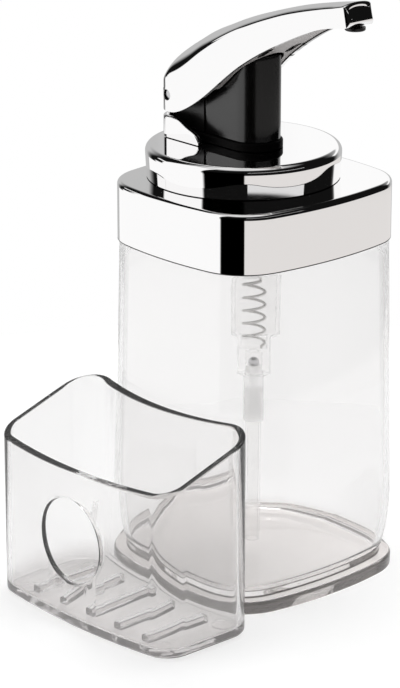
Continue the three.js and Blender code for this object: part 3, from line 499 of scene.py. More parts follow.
# Pump column. A satin black moulding with a round front, a flat back and a top that falls to the back. Its
# boss runs down through collar and cap, where the ring nut clamps it.
COLUMN_HALF = 9.6
COLUMN_BACK = 17.4
COLUMN_BOTTOM = 170.6
COLUMN_TOP = 203.3
COLUMN_FALL = 7.3
COLUMN_EDGE = 0.8
COLUMN_CORNER = 1
BOSS_RADIUS = 8.6
BOSS_BOTTOM = 149.4
SPIGOT_RADIUS = 7.2
SPIGOT_BOTTOM = 141.1
ROD_HOLE = 4.3
HEAD_HOLE = 6.1
HEAD_HOLE_FLOOR = 195.4
FLAT_STEPS = 8
COLUMN_COLOUR = (0.004, 0.0035, 0.0035, 1)


def stadium(half, back, corner):
    """Outline with a round front about the pump's axis and a flat back with small corners."""
    side = [((2 * corner - back) * i / FLAT_STEPS, half) for i in range(1, FLAT_STEPS + 1)]
    outline = [(x, -y) for x, y in reversed(side)]
    outline += [*arc((0, 0), half, -90, 90, 6 * EDGE_STEPS), *side]
    outline += arc((corner - back, half - corner), corner, 90, 180, EDGE_STEPS)
    outline += [(-back, (half - corner) * (1 - 2 * i / FLAT_STEPS)) for i in range(1, FLAT_STEPS)]
    outline += arc((corner - back, corner - half), corner, 180, 270, EDGE_STEPS)
    return outline


def column_ring_at(inset, drop):
    """Ring inside the column's outline, a drop below its sloping top."""
    outline = stadium(COLUMN_HALF - inset, COLUMN_BACK - inset, COLUMN_CORNER)
    return [(x, y, COLUMN_TOP - drop - column_slope * (COLUMN_HALF - x)) for x, y in outline]


column_slope = COLUMN_FALL / (COLUMN_BACK + COLUMN_HALF)
column_outline = stadium(COLUMN_HALF, COLUMN_BACK, COLUMN_CORNER)
mouth = circle_ring(HEAD_HOLE, COLUMN_TOP, column_outline)
mouth = [(x, y, z - column_slope * (COLUMN_HALF - x)) for x, y, z in mouth]
column_rings = [mouth]
column_levels = [(HEAD_HOLE, HEAD_HOLE_FLOOR), (ROD_HOLE, HEAD_HOLE_FLOOR), (ROD_HOLE, SPIGOT_BOTTOM)]
column_levels += [(SPIGOT_RADIUS, SPIGOT_BOTTOM), (SPIGOT_RADIUS, BOSS_BOTTOM), (BOSS_RADIUS, BOSS_BOTTOM)]
column_levels += [(BOSS_RADIUS, COLUMN_BOTTOM)]
column_rings += [circle_ring(radius, z, column_outline) for radius, z in column_levels]
column_rings += [[(x, y, COLUMN_BOTTOM) for x, y in column_outline], column_ring_at(0, 2 * COLUMN_EDGE)]
for across, up in arc((0, 0), COLUMN_EDGE, 0, 90, EDGE_STEPS):
    column_rings.append(column_ring_at(COLUMN_EDGE - across, COLUMN_EDGE - up))
column = skin("pump_column", column_rings, closed=True)
column_black = finish_material(
    "column_black", roughness=0.21, flaw=0.03, flaw_scale=900, bump=0.004, Base_Color=COLUMN_COLOUR, IOR=1.68
)
place(column, "pump_unit", "black_plastic", column_black, "column")


# Foot ring. A thin dull black moulding that lies on the collar round the column's foot and runs back under
# the hinge. The column clamps it.
RING_PROUD = 0.9
RING_BOTTOM = 167.3
RING_HEIGHT = 3
RING_BACK = 34
RING_EDGE = 0.8

foot_outline = stadium(COLUMN_HALF + RING_PROUD, RING_BACK, COLUMN_CORNER)
ring_top = RING_BOTTOM + RING_HEIGHT
foot_rings = [circle_ring(BOSS_HOLE, RING_BOTTOM, foot_outline)]
foot_rings += [[(x, y, RING_BOTTOM) for x, y in foot_outline]]
for across, up in arc((0, 0), RING_EDGE, 0, 90, EDGE_STEPS):
    foot_half = COLUMN_HALF + RING_PROUD - RING_EDGE + across
    outline = stadium(foot_half, RING_BACK - RING_EDGE + across, COLUMN_CORNER)
    foot_rings.append([(x, y, ring_top - RING_EDGE + up) for x, y in outline])
foot_rings += [circle_ring(BOSS_HOLE, ring_top, foot_outline)]
foot = skin("column_foot_ring", foot_rings, closed=True)
dull_black = finish_material(
    "dull_black", roughness=0.5, flaw=0.1, flaw_scale=900, bump=0.006, Base_Color=COLUMN_COLOUR, IOR=1.15
)
place(foot, "pump_unit", "black_plastic", dull_black, "column_ring")


# Hinge. A black block behind the column carries a steel pin, whose ends show in the lever's sides. Both keep
# the shapes of the solids.
STEEL_COLOUR = (0.62, 0.62, 0.63, 1)

steel = finish_material(
    "stainless_steel", roughness=0.22, flaw=0.06, flaw_scale=700, bump=0.006,
    Base_Color=STEEL_COLOUR, Metallic=1,
)
dress("hinge_block", black_plastic)
dress("hinge_pin", steel)


# Heel. A chromed wall that wraps the hinge from behind, its two cheeks falling forwards to rounded tongues.
# It stands on the collar, with the hinge block inside it.
LEVER_BACK = -36.5
LEVER_HALF = 16.5
LEVER_CORNER = 6
HEEL_WALL = 2.2
HEEL_EDGE = 0.7
HEEL_TIP = -13.4
HEEL_STEPS = 14
HEEL_TOP = ((-36.5, 8.5), (-25.6, 8), (-20.6, 5.8), (-15.1, 3.6), (-13.4, 1.4))


def curve_through(knots):
    """Smooth curve through a few (x, value) knots."""
    def slope_at(i):
        before = knots[max(i - 1, 0)]
        after = knots[min(i + 1, len(knots) - 1)]
        return (after[1] - before[1]) / (after[0] - before[0])

    def value(x):
        i = 0
        while i + 2 < len(knots) and x > knots[i + 1][0]:
            i += 1
        run = knots[i + 1][0] - knots[i][0]
        t = min(max((x - knots[i][0]) / run, 0), 1)
        rise = (knots[i + 1][1] - knots[i][1]) * t * t * (3 - 2 * t)
        lean = run * t * (1 - t) * (slope_at(i) * (1 - t) - slope_at(i + 1) * t)
        return knots[i][1] + rise + lean

    return value


heel_top = curve_through(HEEL_TOP)
heel_round = LEVER_BACK + LEVER_CORNER
heel_side = LEVER_HALF - LEVER_CORNER
heel_path = []
for i in range(HEEL_STEPS):
    x = HEEL_TIP + (heel_round - HEEL_TIP) * i / HEEL_STEPS
    heel_path.append((x, LEVER_HALF, 0, 1))
for x, y in arc((heel_round, heel_side), LEVER_CORNER, 90, 180, 2 * EDGE_STEPS):
    heel_path.append((x, y, (x - heel_round) / LEVER_CORNER, (y - heel_side) / LEVER_CORNER))
heel_path += [(x, -y, nx, -ny) for x, y, nx, ny in reversed(heel_path)]


def heel_section(x, y, nx, ny):
    """Upright strip across the heel's wall, round on top, in from a point of its outer face."""
    top = DECK + heel_top(x)
    bottom = RING_BOTTOM
    profile = [(0, bottom), (0, max(bottom + HEEL_EDGE / 2, top - 2 * HEEL_EDGE))]
    profile += arc((HEEL_EDGE, top - HEEL_EDGE), HEEL_EDGE, 180, 90, EDGE_STEPS)
    profile += arc((HEEL_WALL - HEEL_EDGE, top - HEEL_EDGE), HEEL_EDGE, 90, 0, EDGE_STEPS)
    profile += [(HEEL_WALL, bottom)]
    return [(x - nx * depth, y - ny * depth, z) for depth, z in profile]


heel = skin("chrome_heel", [heel_section(*point) for point in heel_path])
place(heel, "pump_unit", "chrome", chrome, "heel")


# Lever. A chromed hollow shell, broad over the hinge and drawn out to a slim spout, with flat sides, a sharp
# shoulder and a low crown; the faces inside the hollow are painted black as shade. It turns on bosses in its
# sides, and a pad under its crown presses the plunger.
LEVER_TIP = 55
LEVER_WALL = 1.8
LEVER_TIP_EDGE = 1.6
LEVER_TIP_FLAT = 0.2
TIP_LEAN = 1.6
TIP_LEAN_START = 47
TIP_LIP = 1.7
LEVER_CREASE = 0.4
LEVER_HOLLOW_END = 43.6
HOLLOW_DROP = 16.5
HOLLOW_SHADE_DEPTH = 1.2
LEVER_STATIONS = 70
LEVER_DOME_STEPS = 32
TOOL_STEPS = 48
LEVER_WIDTHS = ((-30.5, 16.5), (-10, 16.4), (3.8, 14.4), (19, 11.6), (29, 9.2), (40, 7.5), (55, 6.8))
LEVER_LOWER = (
    (-36.5, 10.6), (-26, 10.8), (-12.4, 18.2), (6, 33.5), (22.6, 43.8), (40.6, 52), (55, 54.8),
)
LEVER_SHOULDER = (
    (-36.5, 20.5), (-26, 25.5), (-12.4, 34.9), (5.9, 46.5), (22.5, 53.7), (40.5, 59), (55, 62.2),
)
LEVER_CROWN = ((-36.5, 3.1), (-30, 10), (-18, 10.1), (-5, 7.3), (10, 4.2), (25, 2.8), (55, 1.2))
HINGE_PLACE = (-31, 183.5)
HINGE_BOSS = 3.6
HINGE_HOLE = 2.1
HINGE_BOSS_START = 10.2
PAD_BACK = -8
PAD_FRONT = -1.2
PAD_HALF = 2.2
PAD_BOTTOM = 207.8
PAD_TOP = 212
NOZZLE_X = 51.8
NOZZLE_SEAT_RADIUS = 4.1
NOZZLE_HOLE = 2.3
NOZZLE_STEM = 3.6
SOCKET_ROOM = 0.3

lever_width = curve_through(LEVER_WIDTHS)
lever_lower = curve_through(LEVER_LOWER)
lever_shoulder = curve_through(LEVER_SHOULDER)
lever_crown = curve_through(LEVER_CROWN)


def lever_half(x, wall):
    """Half width of the lever at x, inside a wall, with its round back."""
    if x >= heel_round:
        return lever_width(x) - wall
    across = math.sqrt(max((LEVER_CORNER - wall) ** 2 - (heel_round - x) ** 2, 0))
    return LEVER_HALF - LEVER_CORNER + across


def lever_section(x, wall=0, lowering=0, trim=0):
    """Section across the lever: straight sides from the lower edge to the shoulder, then a dome."""
    half = lever_half(x, wall) - trim
    lower = DECK + lever_lower(x) - lowering + TIP_LIP * trim
    shoulder = DECK + lever_shoulder(x) - wall - trim
    turns = [math.pi * i / LEVER_DOME_STEPS for i in range(LEVER_DOME_STEPS + 1)]
    dome = [(half * math.cos(t), shoulder + lever_crown(x) * math.sin(t)) for t in turns]
    crease = shoulder - LEVER_CREASE
    section = [(-half, lower), (half, lower), (half, crease), *dome, (-half, crease)]
    lean = TIP_LEAN * max(x - TIP_LEAN_START, 0) / (LEVER_TIP - TIP_LEAN_START) / (shoulder - lower)
    return [(x - lean * max(z - lower, 0), y, z) for y, z in section]


def lever_stations(wall, end):
    """Stations along the lever, close together round its back."""
    back = [x for x, _ in arc((heel_round, 0), LEVER_CORNER - wall, 180, 90, 2 * EDGE_STEPS)]
    return back + [heel_round + (end - heel_round) * i / LEVER_STATIONS for i in range(1, LEVER_STATIONS + 1)]


def cut(piece, tool, operation):
    """Joins or cuts a piece with another mesh, which is then gone."""
    change = piece.modifiers.new(operation.lower(), "BOOLEAN")
    change.operation = operation
    change.object = tool
    change.solver = "EXACT"
    settle(piece)
    bpy.data.objects.remove(tool)


def settle(piece, sharp=SHARP_ANGLE):
    """Turns a piece's modifiers into plain mesh."""
    view = bpy.context.evaluated_depsgraph_get()
    mesh = bpy.data.meshes.new_from_object(piece.evaluated_get(view))
    piece.modifiers.clear()
    piece.data = mesh
    mesh.shade_smooth()
    mesh.set_sharp_from_angle(angle=math.radians(sharp))


def block(name, low, high):
    """Plain block used to cut or join."""
    corners = ((0, 0), (1, 0), (1, 1), (0, 1))
    sides = [[(low, high)[a][0] for a, _ in corners], [(low, high)[b][1] for _, b in corners]]
    return skin(name, [[(x, y, z) for x, y in zip(*sides)] for z in (low[2], high[2])])


def cross_round(name, radius, x, z, left, right):
    """Cylinder along Y used to cut or join."""
    outline = arc((x, z), radius, 0, 360, TOOL_STEPS)[:-1]
    return skin(name, [[(a, y, b) for a, b in outline] for y in (left, right)])


tip_turns = arc((0, 0), LEVER_TIP_EDGE, 90, 0, EDGE_STEPS)
lever_rings = [lever_section(x) for x in lever_stations(0, LEVER_TIP - LEVER_TIP_EDGE)]
lever_rings += [
    lever_section(LEVER_TIP - LEVER_TIP_EDGE + along, trim=LEVER_TIP_EDGE - up) for along, up in tip_turns[1:]
]
lever_rings.append(lever_section(LEVER_TIP, trim=LEVER_TIP_EDGE + LEVER_TIP_FLAT))
lever = skin("chrome_lever", lever_rings)
hollow_stations = lever_stations(LEVER_WALL, LEVER_HOLLOW_END)
hollow_rings = [lever_section(x, LEVER_WALL, HOLLOW_DROP) for x in hollow_stations]
cut(lever, skin("hollow", hollow_rings), "DIFFERENCE")
pad = block("pad", (PAD_BACK, -PAD_HALF, PAD_BOTTOM), (PAD_FRONT, PAD_HALF, PAD_TOP))
cut(lever, pad, "UNION")
for side in (-1, 1):
    ends = sorted((side * HINGE_BOSS_START, side * (LEVER_HALF - LEVER_WALL / 2)))
    cut(lever, cross_round("boss", HINGE_BOSS, *HINGE_PLACE, *ends), "UNION")
outside = LEVER_HALF + LEVER_WALL
cut(lever, cross_round("pin_hole", HINGE_HOLE, *HINGE_PLACE, -outside, outside), "DIFFERENCE")
tip_bottom = DECK + lever_lower(NOZZLE_X)
socket_levels = [(NOZZLE_SEAT_RADIUS, -LEVER_WALL), (NOZZLE_SEAT_RADIUS, 0)]
socket_levels += [(NOZZLE_HOLE, 0), (NOZZLE_HOLE, NOZZLE_STEM + SOCKET_ROOM)]
socket = [round_ring(radius, tip_bottom + z, NOZZLE_X, TOOL_STEPS) for radius, z in socket_levels]
cut(lever, skin("outlet_socket", socket), "DIFFERENCE")
place(lever, "lever", "chrome", chrome, "lever")
lever.data.materials.append(black_plastic)
# Faces deep inside the hollow get the black material: painted shade inside the shell.
for face in lever.data.polygons:
    x, y, z = (value / MILLIMETRE for value in face.center)
    half = lever_half(x, 0)
    roof = DECK + lever_shoulder(x) + lever_crown(x) * math.sqrt(max(1 - (y / half) ** 2, 0))
    under = LEVER_BACK + HOLLOW_SHADE_DEPTH < x < LEVER_HOLLOW_END + HOLLOW_SHADE_DEPTH
    if under and half - abs(y) > HOLLOW_SHADE_DEPTH and roof - z > HOLLOW_SHADE_DEPTH:
        face.material_index = 1


# Spout plate. A grey plated plate closes the spout from below, notched round the column and with two slots in
# front of it, their walls painted black as shade. It is pressed in between the lever's sides.
PLATE_BACK = -8
PLATE_END = 43.3
PLATE_THICKNESS = 1.6
PLATE_RECESS = 0.5
FIT_GAP = 0.3
PLATE_STEPS = 32
PLATE_NOTCH = 10.6
OPENING_TOP = 277
SLOT_BACK = 9.3
SLOT_FRONT = 16.2
SLOT_Y = 7
SLOT_HALF = 1.9
GREY_COLOUR = (0.62, 0.59, 0.58, 1)

grey_plastic = finish_material(
    "grey_plating", roughness=0.36, flaw=0.06, flaw_scale=400, bump=0.004, Base_Color=GREY_COLOUR
)

plate_rings = []
for i in range(PLATE_STEPS + 1):
    x = PLATE_BACK + (PLATE_END - PLATE_BACK) * i / PLATE_STEPS
    half = lever_half(x, LEVER_WALL) - FIT_GAP
    low = DECK + lever_lower(x) + PLATE_RECESS
    corners = ((-half, low), (half, low), (half, low + PLATE_THICKNESS), (-half, low + PLATE_THICKNESS))
    plate_rings.append([(x, y, z) for y, z in corners])
plate = skin("spout_plate", plate_rings)
notch = stadium(PLATE_NOTCH, RING_BACK, COLUMN_CORNER)
openings = [notch]
for y in (-SLOT_Y, SLOT_Y):
    slot_outline = arc((SLOT_FRONT - SLOT_HALF, y), SLOT_HALF, -90, 90, 2 * EDGE_STEPS)
    openings.append(slot_outline + arc((SLOT_BACK + SLOT_HALF, y), SLOT_HALF, 90, 270, 2 * EDGE_STEPS))
for outline in openings:
    opening = [[(x, y, z) for x, y in outline] for z in (DECK, OPENING_TOP)]
    cut(plate, skin("opening", opening), "DIFFERENCE")
place(plate, "lever", "grey_plastic", grey_plastic, "lever_liner")
plate.data.materials.append(black_plastic)
# Faces inside the slots get the black material: painted shade of the slots' walls.
for face in plate.data.polygons:
    x, y, _ = (value / MILLIMETRE for value in face.center)
    if SLOT_BACK <= x <= SLOT_FRONT and abs(abs(y) - SLOT_Y) <= SLOT_HALF:
        face.material_index = 1


# Outlet ring. A small black moulding with a rounded lip and a narrow bore. Its stem is pushed into the socket
# under the spout's tip.
NOZZLE_RADIUS = 3.8
NOZZLE_LIP = 1.2
NOZZLE_EDGE = 0.5
NOZZLE_STEM_RADIUS = 2
NOZZLE_BORE = 1.2
TURNED_STEPS = 60


def turned(name, profile, x=0, sharp=SHARP_ANGLE):
    """Revolved piece about a vertical axis; a profile that leaves the axis closes on itself."""
    rings = [round_ring(radius, z, x, TURNED_STEPS) for radius, z in profile]
    return skin(name, rings, closed=True, sharp=sharp)


seat = tip_bottom - FIT_GAP
lip_low = seat - NOZZLE_LIP
nozzle_profile = [(NOZZLE_BORE + NOZZLE_EDGE, lip_low)]
nozzle_profile += arc((NOZZLE_RADIUS - NOZZLE_EDGE, lip_low + NOZZLE_EDGE), NOZZLE_EDGE, -90, 0, EDGE_STEPS)
nozzle_profile += [(NOZZLE_RADIUS, seat), (NOZZLE_STEM_RADIUS, seat)]
nozzle_profile += [(NOZZLE_STEM_RADIUS, seat + NOZZLE_STEM)]
nozzle_profile += [(NOZZLE_BORE, seat + NOZZLE_STEM), (NOZZLE_BORE, lip_low + NOZZLE_EDGE)]
nozzle = turned("outlet_ring", nozzle_profile, NOZZLE_X)
place(nozzle, "lever", "black_plastic", black_plastic, "nozzle")


# Plunger. A natural plastic rod with a domed push head under the lever's pad. It slides in the column, and
# its foot carries the cup seal.
ROD_RADIUS = 4
ROD_BORE = 1.5
HEAD_RADIUS = 5.5
HEAD_BOTTOM = 202.5
HEAD_TOP = 207.5
HEAD_CROWN = 1.8
PISTON_BOTTOM = 122.3
SEAL_TOP = 126.6
SEAL_SPIGOT = 2.6
CROWN_END = 89

crown_radius = (HEAD_RADIUS ** 2 + HEAD_CROWN ** 2) / (2 * HEAD_CROWN)
crown_lean = math.degrees(math.asin(HEAD_RADIUS / crown_radius))
rod_bottom = SEAL_TOP + FIT_GAP
plunger_profile = [(ROD_BORE, PISTON_BOTTOM), (SEAL_SPIGOT, PISTON_BOTTOM), (SEAL_SPIGOT, rod_bottom)]
plunger_profile += [(ROD_RADIUS, rod_bottom), (ROD_RADIUS, HEAD_BOTTOM), (HEAD_RADIUS, HEAD_BOTTOM)]
crown_middle = (0, HEAD_TOP - crown_radius)
plunger_profile += arc(crown_middle, crown_radius, 90 - crown_lean, CROWN_END, 2 * EDGE_STEPS)
plunger_profile += [(0, HEAD_TOP), (0, HEAD_BOTTOM), (ROD_BORE, HEAD_BOTTOM)]
plunger = turned("plunger_rod", plunger_profile)
place(plunger, "plunger", "milky_plastic", milky_plastic, "plunger")


# Seals. A white cup seal is pressed on the spigot at the plunger's foot, and a ring of the same rubber, which
# keeps the shape of its solid, seals the rod at the top of the cylinder.
SEAL_BOTTOM = 122.6
SEAL_RADIUS = 7.2
SEAL_BORE = 2.9
SEAL_LIP = 1.2
SEAL_SHARP = 60

seal_inner = SEAL_RADIUS - SEAL_LIP
seal_profile = [(SEAL_BORE, SEAL_BOTTOM), (seal_inner, SEAL_BOTTOM), (SEAL_RADIUS, SEAL_BOTTOM + SEAL_LIP)]
seal_profile += [(SEAL_RADIUS, SEAL_TOP - SEAL_LIP), (seal_inner, SEAL_TOP), (SEAL_BORE, SEAL_TOP)]
seal = turned("cup_seal", seal_profile, sharp=SEAL_SHARP)
place(seal, "plunger", "seal_rubber", seal_rubber, "piston_seal")
dress("rod_seal", seal_rubber)


# Pump cylinder. A translucent natural plastic barrel, stepped down to a throat with the chamber of the inlet
# valve. It is pushed on the spigot of the column's boss.
CYLINDER_RADIUS = 8.8
CYLINDER_BORE = 7.5
CYLINDER_TOP = 149.1
THROAT_TOP = 97.5
THROAT_BOTTOM = 82.1
THROAT_RADIUS = 6.3
THROAT_BORE = 5.2
THROAT_TAPER = 1.3
VALVE_CHAMBER = 3.2
VALVE_ROOF = 91.6
VALVE_PORT = 1.5
SPRING_FLOOR = 93.1
BARREL_COLOUR = (0.97, 0.965, 0.96, 1)

barrel_plastic = finish_material(
    "barrel_plastic", roughness=0.12, flaw=0.05, flaw_scale=260, bump=0.006,
    Base_Color=BARREL_COLOUR, Transmission_Weight=0.9, IOR=1.08, Alpha=0.4,
)

barrel_profile = [(CYLINDER_RADIUS, CYLINDER_TOP), (CYLINDER_RADIUS, THROAT_TOP + THROAT_TAPER)]
barrel_profile += [(THROAT_RADIUS, THROAT_TOP), (THROAT_RADIUS, THROAT_BOTTOM)]
barrel_profile += [(VALVE_CHAMBER, THROAT_BOTTOM)]
barrel_profile += [(VALVE_CHAMBER, VALVE_ROOF), (VALVE_PORT, VALVE_ROOF), (VALVE_PORT, SPRING_FLOOR)]
barrel_profile += [(THROAT_BORE, SPRING_FLOOR), (THROAT_BORE, THROAT_TOP + THROAT_TAPER)]
barrel_profile += [(CYLINDER_BORE, THROAT_TOP + 2 * THROAT_TAPER), (CYLINDER_BORE, CYLINDER_TOP)]
barrel = turned("pump_barrel", barrel_profile)
place(barrel, "pump_unit", "milky_plastic", barrel_plastic, "cylinder")


# Inlet. A natural plastic ferrule is pushed into the throat, with the clear dip tube in its socket. A loose
# steel ball, which keeps the shape of its solid, closes the seat at its top.
FERRULE_RADIUS = 4
FERRULE_TOP = 81.8
FERRULE_BOTTOM = 62.1
FERRULE_SOCKET_TOP = 76.1
FERRULE_SOCKET = 3.35
SEAT_HEIGHT = 85.7
SEAT_RADIUS = 2
SPIGOT_FIT = 2.9
TUBE_RADIUS = 3.05
TUBE_BORE = 2.2
TUBE_BOTTOM = 9.8
TUBE_TOP = 75.8

ferrule_profile = [(FERRULE_SOCKET, FERRULE_BOTTOM), (FERRULE_RADIUS, FERRULE_BOTTOM)]
ferrule_profile += [(FERRULE_RADIUS, FERRULE_TOP)]
ferrule_profile += [(SPIGOT_FIT, FERRULE_TOP), (SPIGOT_FIT, SEAT_HEIGHT), (SEAT_RADIUS, SEAT_HEIGHT)]
ferrule_profile += [(VALVE_PORT, SEAT_HEIGHT - SEAT_RADIUS + VALVE_PORT), (VALVE_PORT, FERRULE_SOCKET_TOP)]
ferrule_profile += [(FERRULE_SOCKET, FERRULE_SOCKET_TOP)]
ferrule = turned("tube_ferrule", ferrule_profile)
place(ferrule, "pump_unit", "milky_plastic", milky_plastic, "ferrule")

tube_profile = [(TUBE_BORE, TUBE_BOTTOM), (TUBE_RADIUS, TUBE_BOTTOM)]
tube_profile += [(TUBE_RADIUS, TUBE_TOP), (TUBE_BORE, TUBE_TOP)]
tube = turned("dip_tube_wall", tube_profile)
place(tube, "pump_unit", "milky_plastic", barrel_plastic, "dip_tube")
dress("inlet_ball", steel)


# Return spring. A coil of bright round wire that stands on the throat's floor and brings the plunger back up.
# It is squeezed as the plunger comes down.
SPRING_TOP = 122.3
SPRING_RADIUS = 4.1
SPRING_WIRE = 1.1
SPRING_CURLS = 5
SPRING_CURL_STEPS = 32
SPRING_SIDES = 12
SPRING_COLOUR = (0.8, 0.79, 0.78, 1)

spring_steel = finish_material(
    "bright_spring_wire", roughness=0.4, flaw=0.08, flaw_scale=700, bump=0.004,
    Base_Color=SPRING_COLOUR, Metallic=0.4,
)

spring_low = SPRING_FLOOR + FIT_GAP
spring_steps = SPRING_CURLS * SPRING_CURL_STEPS
spring_path = [(SPRING_RADIUS, 0, spring_low)]
for i in range(spring_steps + 1):
    turn = 2 * math.pi * i / SPRING_CURL_STEPS
    climb = (SPRING_TOP - spring_low - 2 * SPRING_WIRE) * i / spring_steps
    spring_path.append((
        SPRING_RADIUS * math.cos(turn), SPRING_RADIUS * math.sin(turn), spring_low + SPRING_WIRE + climb,
    ))
spring_path.append((SPRING_RADIUS, 0, SPRING_TOP))


def open_tree(name, inputs, output):
    """Empty geometry node group with named inputs and one geometry output."""
    tree = bpy.data.node_groups.new(name, "GeometryNodeTree")
    for socket, kind in inputs.items():
        tree.interface.new_socket(socket, in_out="INPUT", socket_type="NodeSocket" + kind)
    tree.interface.new_socket(output, in_out="OUTPUT", socket_type="NodeSocketGeometry")
    return tree


def wire_tree():
    """Geometry nodes that draw a round wire along a path of edges."""
    inputs = {"Path": "Geometry", "Wire Radius": "Float", "Sides": "Int", "Finish": "Material"}
    tree = open_tree("wire_on_path", inputs, "Wire")
    given = tree.nodes.new("NodeGroupInput")
    result = tree.nodes.new("NodeGroupOutput")
    path = tree.nodes.new("GeometryNodeMeshToCurve")
    section = tree.nodes.new("GeometryNodeCurvePrimitiveCircle")
    sweep = tree.nodes.new("GeometryNodeCurveToMesh")
    real = tree.nodes.new("GeometryNodeRealizeInstances")
    paint = tree.nodes.new("GeometryNodeSetMaterial")
    sweep.inputs["Fill Caps"].default_value = True
    tree.links.new(given.outputs["Path"], path.inputs["Mesh"])
    tree.links.new(given.outputs["Sides"], section.inputs["Resolution"])
    tree.links.new(given.outputs["Wire Radius"], section.inputs["Radius"])
    tree.links.new(path.outputs["Curve"], sweep.inputs["Curve"])
    tree.links.new(section.outputs["Curve"], sweep.inputs["Profile Curve"])
    tree.links.new(sweep.outputs["Mesh"], real.inputs["Geometry"])
    tree.links.new(real.outputs["Geometry"], paint.inputs["Geometry"])
    tree.links.new(given.outputs["Finish"], paint.inputs["Material"])
    tree.links.new(paint.outputs["Geometry"], result.inputs["Wire"])
    return tree


def set_inputs(modifier, **values):
    """Sets a node modifier's inputs by the sockets' identifiers; underscores stand for spaces."""
    for item in modifier.node_group.interface.items_tree:
        key = item.name.replace(" ", "_")
        if item.in_out == "INPUT" and key in values:
            modifier[item.identifier] = values[key]


spring_mesh = bpy.data.meshes.new("coil_spring")
spring_edges = [(i, i + 1) for i in range(len(spring_path) - 1)]
spring_mesh.from_pydata([[v * MILLIMETRE for v in point] for point in spring_path], spring_edges, [])
spring = bpy.data.objects.new("coil_spring", spring_mesh)
scene.collection.objects.link(spring)
wire = spring.modifiers.new("wire", "NODES")
wire.node_group = wire_tree()
set_inputs(wire, Wire_Radius=SPRING_WIRE / 2 * MILLIMETRE, Sides=SPRING_SIDES, Finish=spring_steel)
settle(spring)
place(spring, "pump_unit", "steel", spring_steel, "return_spring")
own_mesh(spring)


# Caddy. A clear moulded sponge holder with a bowed front, a back that follows the bottle, a sloping rim, a
# round hole in the front wall, ribs on its floor and small feet. It is one moulding.
CADDY_X = 2.8
CADDY_FRONT = -93.9
CADDY_BACK = -49.1
CADDY_HALF = 48.6
CADDY_FRONT_RADIUS = 264
CADDY_BACK_RADIUS = 157
CADDY_FRONT_CORNER = 10.4
CADDY_BACK_CORNER = 12
CADDY_WALL = 2.6
CADDY_FLOOR_LOW = 0.5
CADDY_FLOOR = 2.9
CADDY_FLOOR_FILLET = 2
CADDY_EDGE = 1.5
CADDY_STEPS = 12
RIM_FRONT = 62
RIM_BACK = 77
RIM_EDGE = 0.9
HOLE_RADIUS = 16.2
HOLE_X = 1.6
HOLE_Z = 34.3
HOLE_EDGE = 1.1
HOLE_SINK = 0.1
RIB_COUNT = 5
RIB_PITCH = 15.4
RIB_MIDDLE = 4.2
RIB_WIDTH = 3.6
RIB_HEIGHT = 2.8
RIB_FRONT = -85.3
RIB_BACK = -57.7
RIB_EDGE = 0.8
CADDY_TINT = (0.89, 0.87, 0.865, 1)
CADDY_BEND = 1.37
CADDY_PASSING = 0.82
CADDY_FOOT_RADIUS = 4
CADDY_FOOT_X = 37.1
CADDY_FOOT_FRONT = -82.4
CADDY_FOOT_BACK = -53.1
FLOOR_BITE = 0.5

caddy_plastic = clear_finish("caddy_plastic", CADDY_BEND, CADDY_TINT, CADDY_PASSING)


def caddy_plan(wall):
    """Outline of the caddy inside a wall."""
    half = CADDY_HALF - wall
    front = CADDY_FRONT_RADIUS - wall
    back = CADDY_BACK_RADIUS + wall
    front_corner = CADDY_FRONT_CORNER - wall
    back_corner = CADDY_BACK_CORNER - wall
    front_middle = CADDY_FRONT + CADDY_FRONT_RADIUS
    back_middle = CADDY_BACK + CADDY_BACK_RADIUS
    front_x = half - front_corner
    back_x = half - back_corner
    front_y = front_middle - math.sqrt((front - front_corner) ** 2 - front_x ** 2)
    back_y = back_middle - math.sqrt((back + back_corner) ** 2 - back_x ** 2)
    front_turn = math.degrees(math.atan2(front_x, front_middle - front_y))
    back_turn = math.degrees(math.atan2(back_x, back_middle - back_y))
    right = arc((0, front_middle), front, -90, front_turn - 90, CADDY_STEPS)[:-1]
    right += arc((front_x, front_y), front_corner, front_turn - 90, 0, CADDY_STEPS)
    right += arc((back_x, back_y), back_corner, 0, 90 + back_turn, CADDY_STEPS)[:-1]
    right += arc((0, back_middle), back, back_turn - 90, -90, CADDY_STEPS)
    outline = right + [(-x, y) for x, y in reversed(right[1:-1])]
    return [(CADDY_X + x, y) for x, y in outline]


def rim_height(y):
    """Height of the sloping rim."""
    return RIM_FRONT + (RIM_BACK - RIM_FRONT) * (y - CADDY_FRONT) / (CADDY_BACK - CADDY_FRONT)


def flat_ring(wall, z):
    """Level ring inside a wall."""
    return [(x, y, z) for x, y in caddy_plan(wall)]


def rim_ring(wall, drop):
    """Ring inside a wall, a drop below the rim."""
    return [(x, y, rim_height(y) - drop) for x, y in caddy_plan(wall)]


caddy_rings = [flat_ring(CADDY_EDGE - a, CADDY_FLOOR_LOW + CADDY_EDGE + b)
               for a, b in arc((0, 0), CADDY_EDGE, -90, 0, EDGE_STEPS)]
caddy_rings += [rim_ring(RIM_EDGE - a, RIM_EDGE - b) for a, b in arc((0, 0), RIM_EDGE, 0, 90, EDGE_STEPS)]
caddy_rings += [rim_ring(CADDY_WALL - RIM_EDGE - a, RIM_EDGE - b)
                for a, b in arc((0, 0), RIM_EDGE, 90, 180, EDGE_STEPS)]
caddy_rings += [flat_ring(CADDY_WALL + CADDY_FLOOR_FILLET - a, CADDY_FLOOR + CADDY_FLOOR_FILLET + b)
                for a, b in arc((0, 0), CADDY_FLOOR_FILLET, 0, -90, EDGE_STEPS)]
caddy = skin("clear_caddy", caddy_rings)

